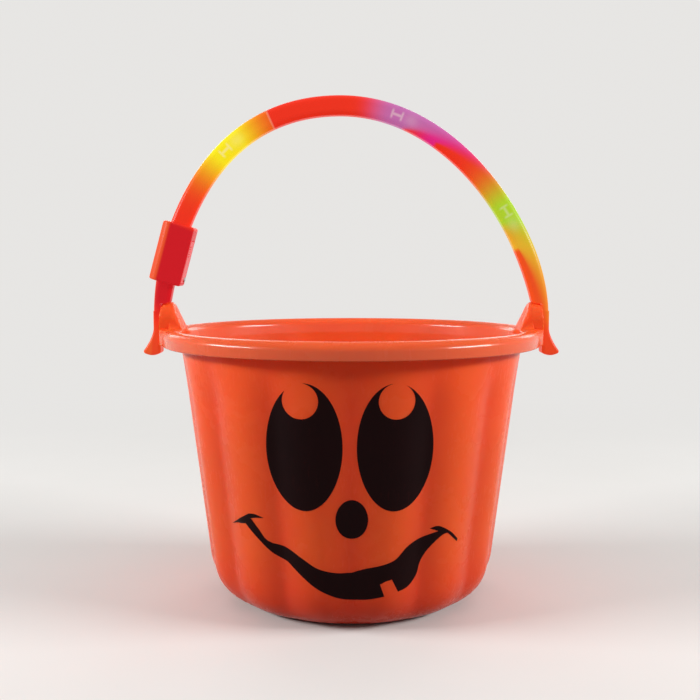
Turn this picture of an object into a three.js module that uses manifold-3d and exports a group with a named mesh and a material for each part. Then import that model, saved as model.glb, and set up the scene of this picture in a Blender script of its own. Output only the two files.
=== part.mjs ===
// Trick-or-treat bucket with a handle that lights up.
// Millimetres, +Z up. The origin is the middle of the bucket's foot, on the surface that it stands on.
// The face looks along -Y, and the two ears that carry the handle lie on +X and -X.

import * as THREE from 'three';
import { mergeVertices } from 'three/addons/utils/BufferGeometryUtils.js';
import Module from 'manifold-3d';

const wasm = await Module();
wasm.setup();

// Bucket
const rimHeight = 171.5;          // from the surface it stands on to the crest of the rim
const rimRadius = 119.5;          // outside of the rolled rim
const rimDrop = 10.3;             // crest of the rim to the lower edge of its skirt
const rimRoll = 5;                // height of the rounded top of the rim
const bucketWall = 2;
const bodyTopRadius = 108.6;      // outside of the lobes, level with the lower edge of the skirt
const bodyTaper = 7.2;            // degrees that the wall leans out
const footCorner = 30;            // radius between the wall and the foot
const lobeCount = 14;
const creaseDepth = 3.2;
const creaseSoftness = 0.28;      // 0 is a sharp crease, 1 is nearly a wave
const creaseFade = 34;            // height over which the creases run out below the rim
const standWidth = 6;             // ring on which the bucket stands
const standRecess = 1.5;          // how far the floor is raised inside that ring

// Ears and pivot
const pivotRise = 5.3;            // pivot above the crest of the rim
const earRadius = 11.5;
const earFace = 121.5;            // distance of the ear's flat outer face from the middle
const earThickness = 11.5;        // below the rim
const earFoot = 14.8;             // level with the crest of the rim, where the ear is thickest
const earHead = 7.8;              // at its top
const earFillet = 3;
const earWebSunk = 1;             // the fillet's foot below the crest of the rim
const earWebEnd = 5.9;            // the web ends this far inside the ear's face, clear of the arm
const pinRadius = 3.5;
const pinLength = 9.5;

// Clearances
const fit = 0.3;                  // between pieces that touch
const seam = 0.2;                 // between the two halves of the handle
const swingClearance = 0.9;       // round the ear, where the handle turns
const sunk = 0.5;                 // how far pieces of one moulding reach into each other

// Handle
const tubeWidth = 12.4;           // across the arch, in its own plane
const tubeDepth = 13;             // front to back
const tubeCorner = 3.8;
const tubeWall = 1.6;
const armWidth = 8.6;             // width of the tube at the pivot
const strapThickness = 4.5;       // what is left of it outside the ear
const armGrowth = 48;             // length over which the tube grows to its full width
const archRise = 135.2;           // pivot to the middle of the tube at the top of the arch
const archLean = -7;              // the top of the arch stands this far to the left
const armLean = 4;                // degrees that each arm leans in at its pivot
const leftArmPull = 50;           // how long each arm and the top keep their direction
const rightArmPull = 55;
const leftTopPull = 86;
const rightTopPull = 74;
const footDrop = 22.5;            // pivot to the end of the foot
const footFlare = 6.4;            // how far the foot flares out past the strap
const footWidth = 14.4;           // front to back
const footFlareLength = 17;
const footFlareEnd = 3;           // the flare is full this far above the foot's end
const footCurve = 1.6;            // 1 flares straight, more flares late
const footRound = 2.4;            // height of the rounding at the foot's end
const footRoundIn = 3.6;          // how far that rounding draws in on each side
const footRoundCurve = 2.4;
const footEdge = 2;               // rounding of the foot's upright edges
const footScrewRise = 8;          // from the end of the foot
const solidArm = 26;              // length of each arm, from the pivot, that isn't hollow
const tubeSunk = 3;               // how far each arm reaches past its pivot into its foot

// Battery box
const boxWidth = 20.8;
const boxTilt = 15.2;             // degrees from upright
const boxRise = 42.4;             // pivot to the middle of the box
const boxReach = 113.8;           // middle of the box from the middle of the bucket
const boxChamfer = 3.5;
const cellRadius = 5.8;
const cellHeight = 5.4;
const cellCount = 3;
const cellCap = 0.8;              // step round the cap of each cell
const boardThickness = 1;
const boardToCells = 1.6;
const contactThickness = 0.4;
const contactWidth = 9;
const springHeight = 3.2;
const springWire = 0.6;
const springTurns = 2.5;
const springRadius = 3.8;
const springTaper = 0.37;         // share of its radius that the spring loses towards the cells
const springSunk = 0.1;           // how far its first turn is pressed into its plate
const ledgeDepth = 1.8;           // the shelf under the door's upper end
const ledgeHeight = 2.6;
const postLength = 5.4;           // the block that the door's screw goes into
const switchSize = 6;
const switchGap = 0.6;            // from the cells' upper contact to the switch
const wireRoom = 1.1;             // from the switch to the upper wall of the box
const switchBody = 3.5;
const switchPlunger = 1.5;
const switchPlungerRadius = 1.7;
const buttonRadius = 2.5;
const buttonFlange = 0.7;         // how far the button's flange reaches past its cap
const buttonFlangeHeight = 1;
const buttonProud = 0.9;
const buttonStem = 1.5;
const edgeBreak = 0.4;            // small chamfer on turned and moulded edges
const buttonPlay = 0.2;           // left between the stem and the switch when the button is down
const buttonTravel = 0.8;
const chipRadius = 2.6;
const chipHeight = 0.9;

// Lamps, wires and screws
const lampRadius = 2.5;
const lampFlange = 0.4;
const lampFlangeHeight = 1;
const leadInset = 1;              // inner edge of each lead from the seam
const lampLength = 5;             // up to where the round tip begins
const leadThickness = 0.6;
const wireRadius = 0.55;
const wireSpread = 2.9;           // each wire from the seam
const wireInset = 3.2;            // wires from the middle of the tube, towards the bucket
const wireFromDoor = 3.8;         // start of the wires from the inner side of the box
const wireStagger = 0.8;          // each wire from that line
const wireDrop = 4;               // start of the wires below the middle of the switch
const wireRun = 2;                // length that they lie straight on the circuit board
const wireClear = 1;              // wires past the end of the box, and past the last rib
const ribThickness = 1.2;
const yellowAt = 0.295;           // places along the arch, as shares of its length
const barrierAt = 0.379;
const purpleAt = 0.585;
const greenAt = 0.805;
const screwHead = 1.7;
const screwHeadHeight = 1.2;
const screwShank = 0.9;
const screwLength = 9.5;
const doorScrewLength = 6.5;
const doorScrewProud = 0.5;
const cutBeyond = 1.2;            // a cutter reaches this far past the surface

// Printed face, measured from a point level with the middle of the eyes
const faceDrop = 49.9;            // from the lower edge of the skirt to the middle of the eyes
const printThickness = 0.3;
const eyeSpread = 51.1;
const eyeMiddle = -0.95;
const eyeWidth = 43.2;
const eyeHeight = 73.2;
const glintRadius = 10.2;
const glintRise = 26.5;
const glintShift = [-1.9, 0.5];
const noseWidth = 18.2;
const noseHeight = 22.8;
const noseDrop = 41.4;
const noseMiddle = 0.2;
const printFoot = 20;             // degrees up the foot's corner at which the printable wall begins

// Fineness of the round shapes
const roundSteps = 6 * lobeCount;
const cornerSteps = 5;
const archSteps = 52;
const wireSteps = 28;

const degree = Math.PI / 180;
const pivotHeight = rimHeight + pivotRise;
const skirtHeight = rimHeight - rimDrop;

// Solids and meshes

function bare(geometry) {
  const plain = geometry.index ? geometry.toNonIndexed() : geometry.clone();
  for (const name of Object.keys(plain.attributes)) {
    if (name !== 'position') plain.deleteAttribute(name);
  }
  const merged = mergeVertices(plain, 1e-4);
  const kept = [];
  const index = merged.index.array;
  for (let i = 0; i < index.length; i += 3) {
    const [a, b, c] = [index[i], index[i + 1], index[i + 2]];
    if (a !== b && b !== c && c !== a) kept.push(a, b, c);
  }
  merged.setIndex(kept);
  return merged;
}

function volume(geometry) {
  const position = geometry.attributes.position;
  const corners = [new THREE.Vector3(), new THREE.Vector3(), new THREE.Vector3()];
  let total = 0;
  for (let i = 0; i < geometry.index.count; i += 3) {
    for (const [k, corner] of corners.entries()) {
      corner.fromBufferAttribute(position, geometry.index.getX(i + k));
    }
    total += corners[0].dot(corners[1].clone().cross(corners[2])) / 6;
  }
  return total;
}

function outward(geometry) {
  const clean = bare(geometry);
  if (volume(clean) < 0) clean.setIndex(Array.from(clean.index.array).reverse());
  return clean;
}

function solid(geometry) {
  const clean = outward(geometry);
  return new wasm.Manifold(new wasm.Mesh({
    numProp: 3,
    vertProperties: new Float32Array(clean.attributes.position.array),
    triVerts: new Uint32Array(clean.index.array),
  }));
}

function shaped(body) {
  const mesh = body.getMesh();
  const geometry = new THREE.BufferGeometry();
  geometry.setAttribute('position', new THREE.BufferAttribute(mesh.vertProperties, 3));
  geometry.setIndex(new THREE.BufferAttribute(mesh.triVerts, 1));
  geometry.computeVertexNormals();
  return geometry;
}

function block(x, y, z) {
  return new THREE.BoxGeometry(x[1] - x[0], y[1] - y[0], z[1] - z[0])
    .translate((x[0] + x[1]) / 2, (y[0] + y[1]) / 2, (z[0] + z[1]) / 2);
}

function rod(radius, from, to, sides = 32) {
  return new THREE.CylinderGeometry(radius, radius, to - from, sides)
    .rotateX(Math.PI / 2)
    .translate(0, 0, (from + to) / 2);
}

function turned(profile, sides = 24) {
  const points = profile.map(([radius, height]) => new THREE.Vector2(radius, height));
  return new THREE.LatheGeometry(points, sides).rotateX(Math.PI / 2);
}

function loft(rings) {
  const count = rings[0].length;
  const points = rings.flat();
  const faces = [];
  for (let i = 0; i + 1 < rings.length; i += 1) {
    for (let j = 0; j < count; j += 1) {
      const [a, b] = [i * count + j, i * count + (j + 1) % count];
      faces.push(a, b, b + count, a, b + count, a + count);
    }
  }
  for (const [ring, flip] of [[0, true], [rings.length - 1, false]]) {
    const middle = new THREE.Vector3();
    rings[ring].forEach((point) => middle.addScaledVector(point, 1 / count));
    points.push(middle);
    for (let j = 0; j < count; j += 1) {
      const [a, b] = [ring * count + j, ring * count + (j + 1) % count];
      faces.push(...(flip ? [b, a] : [a, b]), points.length - 1);
    }
  }
  const geometry = new THREE.BufferGeometry().setFromPoints(points);
  geometry.setIndex(faces);
  return geometry;
}

// A rectangle with round corners, as a list of [across, along y] points
function roundedRectangle(across, deep, corner, steps = 2) {
  const points = [];
  for (const [sx, sy, start] of [[1, 1, 0], [-1, 1, 90], [-1, -1, 180], [1, -1, 270]]) {
    for (let i = 0; i <= steps; i += 1) {
      const angle = (start + i * 90 / steps) * degree;
      points.push([
        sx * (across / 2 - corner) + corner * Math.cos(angle),
        sy * (deep / 2 - corner) + corner * Math.sin(angle),
      ]);
    }
  }
  return points;
}

// Bucket: one wall, folded over into a rim with a skirt, with lobes like a pumpkin's

const taper = bodyTaper * degree;
const cornerTop = footCorner * (1 - Math.sin(taper));
const wallRadius = (height) => bodyTopRadius - (skirtHeight - height) * Math.tan(taper);
const standRadius = wallRadius(cornerTop) - footCorner * Math.cos(taper);

// Outside of the wall at a distance off it, from the foot up, with how much of the crease each row has
function wallProfile(offset, firstAngle, topHeight) {
  const rows = [];
  const lastAngle = Math.PI / 2 - taper;
  for (let i = 0; i <= cornerSteps; i += 1) {
    const angle = firstAngle + (lastAngle - firstAngle) * i / cornerSteps;
    rows.push({
      radius: standRadius + (footCorner + offset) * Math.sin(angle),
      height: footCorner - (footCorner + offset) * Math.cos(angle),
      crease: Math.sin(angle) ** 2,
    });
  }
  for (const share of [0.3, 0.6, 0.8, 0.9, 1]) {
    const height = cornerTop + (topHeight - cornerTop) * share;
    rows.push({
      radius: wallRadius(height) + offset / Math.cos(taper),
      height,
      crease: Math.min(1, Math.max(0, (rimHeight - rimRoll - height) / creaseFade)),
    });
  }
  return rows;
}

function crease(angle) {
  const deepest = 1 - creaseSoftness / Math.hypot(1, creaseSoftness);
  const wave = Math.hypot(Math.sin(lobeCount / 2 * angle), creaseSoftness);
  return (1 - wave / Math.hypot(1, creaseSoftness)) / deepest;
}

function lobed(rows) {
  const profile = rows.map((row) => new THREE.Vector2(row.radius, row.height));
  const lathe = new THREE.LatheGeometry(profile, roundSteps);
  const position = lathe.attributes.position;
  for (let i = 0; i < position.count; i += 1) {
    const row = rows[i % rows.length];
    const angle = Math.floor(i / rows.length) % roundSteps / roundSteps * 2 * Math.PI;
    const radius = row.radius - creaseDepth * row.crease * crease(angle);
    position.setXYZ(i, radius * Math.sin(angle), row.height, radius * Math.cos(angle));
  }
  return lathe.rotateX(Math.PI / 2);
}

const plain = (radius, height) => ({ radius, height, crease: 0 });

// Half an ellipse over the rim or under it, from the inside to the outside
function rimArch(offset, steps) {
  const foot = rimHeight - rimRoll;
  const inside = wallRadius(foot) - bucketWall / Math.cos(taper) - offset;
  const outside = rimRadius + offset;
  const rows = [];
  for (let i = 0; i <= steps; i += 1) {
    const angle = Math.PI * i / steps;
    rows.push(plain(
      (inside + outside) / 2 - (outside - inside) / 2 * Math.cos(angle),
      foot + (rimRoll + offset) * Math.sin(angle),
    ));
  }
  return rows;
}

function earSolid(side) {
  const tongue = new THREE.Shape();
  tongue.moveTo(-earRadius, skirtHeight);
  tongue.lineTo(earRadius, skirtHeight);
  tongue.lineTo(earRadius, pivotHeight);
  tongue.absarc(0, pivotHeight, earRadius, 0, Math.PI, false);
  const base = rimHeight - earWebSunk;
  const web = new THREE.Shape();
  web.moveTo(-earRadius - earFillet, base - bucketWall);
  web.lineTo(earRadius + earFillet, base - bucketWall);
  web.lineTo(earRadius + earFillet, base);
  web.absarc(earRadius + earFillet, base + earFillet, earFillet, -Math.PI / 2, -Math.PI, true);
  web.lineTo(-earRadius, base + earFillet);
  web.absarc(-earRadius - earFillet, base + earFillet, earFillet, 0, -Math.PI / 2, true);
  const top = pivotHeight + earRadius + sunk;
  const slope = new THREE.Shape([
    [earFace - earThickness, skirtHeight - sunk],
    [earFace - earThickness, rimHeight - rimRoll],
    [earFace - earFoot, rimHeight],
    [earFace - earHead, top],
    [earFace + sunk, top],
    [earFace + sunk, skirtHeight - sunk],
  ].map(([x, z]) => new THREE.Vector2(side * x, z)));
  const sideView = new THREE.ExtrudeGeometry(slope, { depth: 4 * earRadius, bevelEnabled: false });
  const extrude = (shape, from, to) => solid(new THREE.ExtrudeGeometry(shape, {
    depth: to - from, bevelEnabled: false, curveSegments: 12,
  }).rotateX(Math.PI / 2).rotateZ(Math.PI / 2).translate(from, 0, 0)
    .scale(side, 1, 1));
  return extrude(tongue, earFace - earFoot, earFace)
    .intersect(solid(sideView.rotateX(Math.PI / 2).translate(0, 2 * earRadius, 0)))
    .add(extrude(web, earFace - earThickness, earFace - earWebEnd));
}

function bucketShell() {
  const underRim = rimArch(-bucketWall, 6);
  const overRim = rimArch(0, 8).reverse();
  const outerWall = wallProfile(0, 0, rimHeight - rimRoll).slice(0, -1);
  const innerWall = wallProfile(-bucketWall, 0, rimHeight - rimRoll).slice(0, -1).reverse();
  const floorRadius = standRadius - standWidth;
  const rows = [
    plain(0, standRecess),
    plain(floorRadius - standRecess, standRecess),
    plain(floorRadius, 0),
    ...outerWall,
    ...underRim,
    plain(rimRadius - bucketWall, skirtHeight),
    plain(rimRadius, skirtHeight),
    ...overRim,
    ...innerWall,
    plain(floorRadius, bucketWall),
    plain(floorRadius - standRecess, bucketWall + standRecess),
    plain(0, bucketWall + standRecess),
  ];
  let shell = solid(lobed(rows)).add(earSolid(1)).add(earSolid(-1));
  for (const side of [-1, 1]) {
    const ends = [side * (strapInside - pinLength - fit), side * (earFace + sunk)].sort((a, b) => a - b);
    const bore = rod(pinRadius + fit, ...ends).rotateY(Math.PI / 2).translate(0, 0, pivotHeight);
    shell = shell.subtract(solid(bore));
  }
  return shell;
}

// Printed face: thin sheets that follow the lobes of the wall

const faceHeight = skirtHeight - faceDrop;

function printSkin() {
  const rows = (offset) => wallProfile(offset, printFoot * degree, rimHeight - rimRoll).slice(0, -1);
  const outside = rows(fit + printThickness);
  const inside = rows(fit).reverse();
  return solid(lobed([...outside, ...inside, outside[0]]));
}

function printed(outlines, curveSegments = 18) {
  const cutter = outlines.map((shape) => solid(new THREE.ExtrudeGeometry(shape, {
    depth: rimRadius, bevelEnabled: false, curveSegments,
  }).rotateX(Math.PI / 2).translate(0, 0, faceHeight)));
  return skin.intersect(cutter.slice(1).reduce((sum, part) => sum.subtract(part), cutter[0]));
}

function ellipse(x, z, width, height) {
  const shape = new THREE.Shape();
  shape.absellipse(x, z, width / 2, height / 2, 0, 2 * Math.PI, false, 0);
  return shape;
}

function eye(side) {
  const middle = eyeMiddle + side * eyeSpread / 2;
  const shift = glintShift[side < 0 ? 0 : 1];
  return printed([
    ellipse(middle, 0, eyeWidth, eyeHeight),
    ellipse(middle + shift, glintRise, 2 * glintRadius, 2 * glintRadius),
  ]);
}

// A crooked grin with one tooth and a cheek line at each end, in smooth runs between its corners
const mouthRuns = [
  [[-58.2, -44.9], [-53.5, -50.8], [-49.4, -56.3], [-45.3, -58.5]],
  [[-45.3, -58.5], [-36.7, -60.3], [-27.3, -65.7], [-19.2, -70.5], [-9, -73], [0.2, -73.2]],
  [[0.2, -73.2], [8, -70.5], [18.1, -68.2], [25.2, -65.3], [31.3, -59.1], [38, -55.2], [50.1, -51.6]],
  [[50.1, -51.6], [45, -49.6]],
  [[45, -49.6], [50.4, -48.6], [57.5, -52.9], [61.9, -58.2]],
  [[61.9, -58.2], [61.6, -59.9]],
  [
    [61.6, -59.9], [56.9, -54.6], [55, -53.4], [51.3, -55.1], [44.1, -61.8],
    [39.6, -68.7], [37.2, -76.8], [32.5, -82.8], [26.6, -85.1],
  ],
  [[26.6, -85.1], [23, -77.2]],
  [[23, -77.2], [16.2, -79.8]],
  [[16.2, -79.8], [18.7, -87.3]],
  [[18.7, -87.3], [7, -89.3], [-5.3, -88.9], [-18.3, -83.5], [-27.4, -76.7], [-36.4, -68.6]],
  [[-36.4, -68.6], [-45.8, -64], [-54.7, -55.8], [-61.5, -48.7]],
  [[-61.5, -48.7], [-70.4, -51.7]],
  [[-70.4, -51.7], [-64.8, -46.2], [-59.3, -42.2]],
  [[-59.3, -42.2], [-55.6, -42.1], [-50.3, -43.8]],
  [[-50.3, -43.8], [-58.2, -44.9]],
];

function mouthShape() {
  const shape = new THREE.Shape();
  shape.moveTo(...mouthRuns[0][0]);
  for (const run of mouthRuns) {
    shape.splineThru(run.slice(1).map(([x, z]) => new THREE.Vector2(x, z)));
  }
  return shape;
}

// Handle: a tube in two halves, front and back, with the battery box and both feet in one piece

const apexHeight = pivotHeight + archRise;
const strapInside = earFace + fit;
const armReach = strapInside + strapThickness - armWidth / 2;
const armDirection = [Math.sin(armLean * degree), Math.cos(armLean * degree)];
const inPlane = (x, z) => new THREE.Vector3(x, 0, z);

const arch = new THREE.CurvePath();
arch.add(new THREE.CubicBezierCurve3(
  inPlane(-armReach, pivotHeight),
  inPlane(-armReach + leftArmPull * armDirection[0], pivotHeight + leftArmPull * armDirection[1]),
  inPlane(archLean - leftTopPull, apexHeight),
  inPlane(archLean, apexHeight),
));
arch.add(new THREE.CubicBezierCurve3(
  inPlane(archLean, apexHeight),
  inPlane(archLean + rightTopPull, apexHeight),
  inPlane(armReach - rightArmPull * armDirection[0], pivotHeight + rightArmPull * armDirection[1]),
  inPlane(armReach, pivotHeight),
));
const archLength = arch.getLength();

// A place on the arch: its point, the way along it and the way out of it
function station(share) {
  const along = arch.getTangentAt(share);
  return { point: arch.getPointAt(share), along, out: new THREE.Vector3(-along.z, 0, along.x) };
}

function tubeWidthAt(share) {
  const distance = Math.min(share, 1 - share) * archLength;
  const left = 1 - Math.min(1, distance / armGrowth);
  return tubeWidth - (tubeWidth - armWidth) * left * left;
}

function ring(place, section, shift = 0) {
  return section.map(([across, y]) => place.point.clone()
    .addScaledVector(place.along, shift)
    .addScaledVector(place.out, across)
    .add(new THREE.Vector3(0, y, 0)));
}

// The tube between two shares of the arch, thinner by inset on every side
function tube(from, to, inset, extra = 0) {
  const steps = Math.max(1, Math.round(archSteps * (to - from)));
  const rings = [];
  for (let i = 0; i <= steps; i += 1) {
    const share = from + (to - from) * i / steps;
    const width = tubeWidthAt(share) - 2 * inset;
    const shift = i === 0 ? -extra : (i === steps ? extra : 0);
    const section = roundedRectangle(width, tubeDepth - 2 * inset, tubeCorner - inset);
    rings.push(ring(station(share), section, shift));
  }
  return solid(loft(rings));
}

// A foot hangs from the pivot outside the ear, and flares out towards its end
function foot(side) {
  const top = pivotHeight + earRadius / 2;
  const end = pivotHeight - footDrop;
  const flareHeights = [1, 0.7, 0.47, 0.29].map((share) => end + share * footFlareLength);
  const roundHeights = [1, 0.62, 0.34, 0.14, 0].map((share) => end + share * footRound);
  const heights = [top, pivotHeight, ...flareHeights, ...roundHeights];
  const rings = heights.map((height) => {
    const flared = (end + footFlareLength - height) / (footFlareLength - footFlareEnd);
    const share = Math.min(1, Math.max(0, flared));
    const closing = footRoundIn * Math.max(0, 1 - (height - end) / footRound) ** footRoundCurve;
    const fullThickness = strapThickness + footFlare * share ** footCurve;
    const thickness = fullThickness - 2 * closing;
    const deep = tubeDepth + (footWidth - tubeDepth) * share - closing;
    const section = roundedRectangle(thickness, deep, Math.min(footEdge, thickness / 2.2));
    const middle = strapInside + fullThickness / 2;
    return section.map(([x, y]) => new THREE.Vector3(side * (middle + x), y, height));
  });
  return solid(loft(rings));
}

// Battery box frame: x is towards the bucket's middle, y to the back and z up along the box
const boxPlace = new THREE.Matrix4().makeRotationY(boxTilt * degree)
  .setPosition(-boxReach, 0, pivotHeight + boxRise);

const boxInnerWidth = boxWidth - 2 * tubeWall;
const boxInnerDepth = fit + boardThickness + boardToCells + 2 * cellRadius + fit;
const boxDepth = boxInnerDepth + 2 * tubeWall;
const cellsHeight = cellCount * (cellHeight + fit);
const stackHeight = contactThickness + springHeight + cellsHeight + 2 * fit + contactThickness;
const switchRoom = switchGap + switchSize + wireRoom;
const boxInnerLength = postLength + fit + stackHeight + switchRoom;
const boxLength = boxInnerLength + 2 * tubeWall;
const boxFloor = -boxInnerLength / 2;
const postTop = boxFloor + postLength;
const stackTop = postTop + fit + stackHeight;
const switchMiddle = stackTop + switchGap + switchSize / 2;
const cellBack = boxInnerDepth / 2 - fit;
const cellMiddle = cellBack - cellRadius;
const boardFront = -boxInnerDepth / 2 + fit;
const boardBack = boardFront + boardThickness;
const doorTop = stackTop + switchGap;
const doorHalf = boxInnerDepth / 2 - fit;
const doorScrew = { y: boxInnerDepth / 4, z: boxFloor + postLength / 2 };
const chamferAt = (inset) => boxChamfer - inset * (2 - Math.SQRT2);

function boxOutline(inset) {
  const [x, y] = [boxWidth / 2 - inset, boxDepth / 2 - inset];
  const cut = chamferAt(inset);
  const shape = new THREE.Shape();
  shape.moveTo(-x, -y + cut);
  shape.lineTo(-x + cut, -y);
  shape.lineTo(x, -y);
  shape.lineTo(x, y);
  shape.lineTo(-x + cut, y);
  shape.lineTo(-x, y - cut);
  return shape;
}

const inBox = (geometry) => solid(geometry.applyMatrix4(boxPlace));

function boxBlock(inset) {
  const length = boxLength - 2 * inset;
  return inBox(new THREE.ExtrudeGeometry(boxOutline(inset), { depth: length, bevelEnabled: false })
    .translate(0, 0, -length / 2));
}

// A thin wall across the tube, open on the inner side where the wires pass
function rib(share) {
  const half = ribThickness / 2 / archLength;
  const width = tubeWidthAt(share) - tubeWall;
  const deep = tubeDepth - tubeWall;
  const low = -wireInset + wireRadius + fit;
  const section = [[low, -deep / 2], [width / 2, -deep / 2], [width / 2, deep / 2], [low, deep / 2]];
  return solid(loft([ring(station(share - half), section), ring(station(share + half), section)]));
}

// The share of the arch on the left that is nearest to the middle of the box
const boxShare = boxRise / Math.cos(boxTilt * degree) / archLength;
const armScrewShare = (earRadius + swingClearance + solidArm) / 2 / archLength;
const solidShare = solidArm / archLength;

// Screws that close the handle from the back: where their heads lie
function handleScrews() {
  const heads = [armScrewShare, 1 - armScrewShare].map((share) => {
    const { point } = station(share);
    return new THREE.Vector3(point.x, tubeDepth / 2, point.z);
  });
  const footMiddle = strapInside + (strapThickness + footFlare / 2) / 2;
  for (const side of [-1, 1]) {
    heads.push(new THREE.Vector3(side * footMiddle, footWidth / 2, pivotHeight - footDrop + footScrewRise));
  }
  return heads;
}

function screwGeometry(length) {
  return turned([
    [0, 0],
    [screwHead, 0],
    [screwHead, -screwHeadHeight],
    [screwShank, -screwHeadHeight],
    [screwShank, -length],
    [0, -length],
  ], 16);
}

function screwHole(length) {
  return turned([
    [0, cutBeyond],
    [screwHead + fit, cutBeyond],
    [screwHead + fit, -screwHeadHeight - fit],
    [screwShank + fit, -screwHeadHeight - fit],
    [screwShank + fit, -length - fit],
    [0, -length - fit],
  ], 16);
}

const onDoor = (screw) => screw.rotateY(Math.PI / 2)
  .translate(boxWidth / 2 + doorScrewProud, doorScrew.y, doorScrew.z);

function wholeHandle() {
  let handle = tube(0, 1, 0, tubeSunk).add(boxBlock(0)).add(foot(-1)).add(foot(1));
  handle = handle.subtract(boxBlock(tubeWall)).subtract(tube(boxShare, 1 - solidShare, tubeWall));

  const ledge = block(
    [boxInnerWidth / 2 - ledgeDepth, boxInnerWidth / 2 - fit],
    [-boxInnerDepth / 2 - sunk, boxInnerDepth / 2 + sunk],
    [doorTop - 2 * fit, doorTop - 2 * fit + ledgeHeight],
  );
  const post = block(
    [-boxInnerWidth / 2 - sunk, boxInnerWidth / 2 - fit],
    [fit, boxInnerDepth / 2 + sunk],
    [boxFloor - sunk, postTop],
  );
  const doorway = block(
    [boxInnerWidth / 2 - fit, boxWidth],
    [-doorHalf - fit, doorHalf + fit],
    [boxFloor + fit, doorTop + fit],
  );
  handle = handle.add(inBox(ledge)).add(inBox(post)).subtract(inBox(doorway));
  for (const share of [yellowAt, barrierAt, purpleAt, greenAt]) handle = handle.add(rib(share));

  const ear = rod(earRadius + swingClearance, -strapInside, strapInside, 48).rotateY(Math.PI / 2);
  handle = handle.subtract(solid(ear.translate(0, 0, pivotHeight)));
  handle = handle.subtract(solid(block(
    [-strapInside, strapInside], [-boxDepth, boxDepth], [pivotHeight - 2 * footDrop, pivotHeight],
  )));
  for (const side of [-1, 1]) {
    const ends = [side * (strapInside - pinLength), side * (strapInside + tubeWall)].sort((a, b) => a - b);
    handle = handle.add(solid(rod(pinRadius, ...ends).rotateY(Math.PI / 2).translate(0, 0, pivotHeight)));
  }
  for (const head of handleScrews()) {
    const hole = screwHole(screwLength).rotateX(-Math.PI / 2).translate(head.x, head.y, head.z);
    handle = handle.subtract(solid(hole));
  }
  const buttonHole = rod(buttonRadius + fit, boxInnerDepth / 2 - cutBeyond, boxDepth)
    .rotateX(-Math.PI / 2)
    .translate(0, 0, switchMiddle);
  return handle.subtract(inBox(buttonHole)).subtract(inBox(onDoor(screwHole(doorScrewLength))));
}

function handleHalf(handle, side) {
  const far = 4 * rimRadius;
  const y = side < 0 ? [-far, -seam / 2] : [seam / 2, far];
  return handle.intersect(solid(block([-far, far], y, [-far, far])));
}

// Pieces in the battery box, in the box's own frame

function batteryDoor() {
  const plate = block(
    [boxInnerWidth / 2, boxWidth / 2],
    [-doorHalf, doorHalf],
    [boxFloor + 2 * fit, doorTop],
  );
  return solid(plate).subtract(solid(onDoor(screwHole(doorScrewLength))));
}

function pushButton() {
  const flangeTop = boxInnerDepth / 2 - fit;
  const flangeFoot = flangeTop - buttonFlangeHeight;
  const capTop = boxDepth / 2 + buttonProud;
  const stemEnd = boardBack + fit + switchBody + switchPlunger + buttonTravel + buttonPlay;
  return turned([
    [0, stemEnd],
    [buttonStem, stemEnd],
    [buttonStem, flangeFoot],
    [buttonRadius + buttonFlange, flangeFoot],
    [buttonRadius + buttonFlange, flangeTop],
    [buttonRadius, flangeTop],
    [buttonRadius, capTop - edgeBreak],
    [buttonRadius - edgeBreak, capTop],
    [0, capTop],
  ]).rotateX(-Math.PI / 2).translate(0, 0, switchMiddle);
}

function tactSwitch() {
  const seat = boardBack + fit;
  const half = switchSize / 2;
  const body = block([-half, half], [seat, seat + switchBody], [switchMiddle - half, switchMiddle + half]);
  const plunger = rod(switchPlungerRadius, seat + switchBody / 2, seat + switchBody + switchPlunger, 20)
    .rotateX(-Math.PI / 2)
    .translate(0, 0, switchMiddle);
  return solid(body).add(solid(plunger));
}

function circuitBoard() {
  return block(
    [-boxInnerWidth / 2 + chamferAt(tubeWall) + fit, boxInnerWidth / 2 - ledgeDepth - fit],
    [boardFront, boardBack],
    [boxFloor + fit, -boxFloor - fit],
  );
}

function flasherChip() {
  const dome = [];
  for (let i = 0; i <= 4; i += 1) {
    const angle = i * Math.PI / 8;
    dome.push([chipRadius * Math.cos(angle), chipHeight * Math.sin(angle)]);
  }
  dome[4][0] = 0;
  return turned([[0, 0], ...dome], 20).rotateX(-Math.PI / 2)
    .translate(0, boardBack + fit, postTop + postLength);
}

function contactPlate(bottom) {
  return block(
    [-contactWidth / 2, contactWidth / 2],
    [cellMiddle - contactWidth / 2, cellBack],
    [bottom, bottom + contactThickness],
  );
}

// A cone of wire that narrows towards the cells
class ConeCoil extends THREE.Curve {
  getPoint(share) {
    const angle = share * springTurns * 2 * Math.PI;
    const radius = springRadius * (1 - springTaper * share);
    const height = (springHeight - springWire) * share + springWire / 2;
    return new THREE.Vector3(radius * Math.cos(angle), radius * Math.sin(angle), height);
  }
}

function springContact() {
  const bottom = postTop + fit;
  const section = new THREE.Shape();
  section.absarc(0, 0, springWire / 2, 0, 2 * Math.PI, false);
  const coil = new THREE.ExtrudeGeometry(section, {
    steps: Math.round(springTurns * 8), curveSegments: 3, extrudePath: new ConeCoil(),
  }).translate(0, cellMiddle, bottom + contactThickness - springSunk);
  return solid(contactPlate(bottom)).add(solid(coil));
}

function buttonCell(number) {
  const bottom = postTop + fit + contactThickness + springHeight + fit + number * (cellHeight + fit);
  return turned([
    [0, 0],
    [cellRadius - edgeBreak, 0],
    [cellRadius, edgeBreak],
    [cellRadius, cellHeight - cellCap],
    [cellRadius - cellCap, cellHeight - cellCap],
    [cellRadius - cellCap, cellHeight],
    [0, cellHeight],
  ]).translate(0, cellMiddle, bottom);
}

// Lamps stand on their ribs and look along the tube

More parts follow.
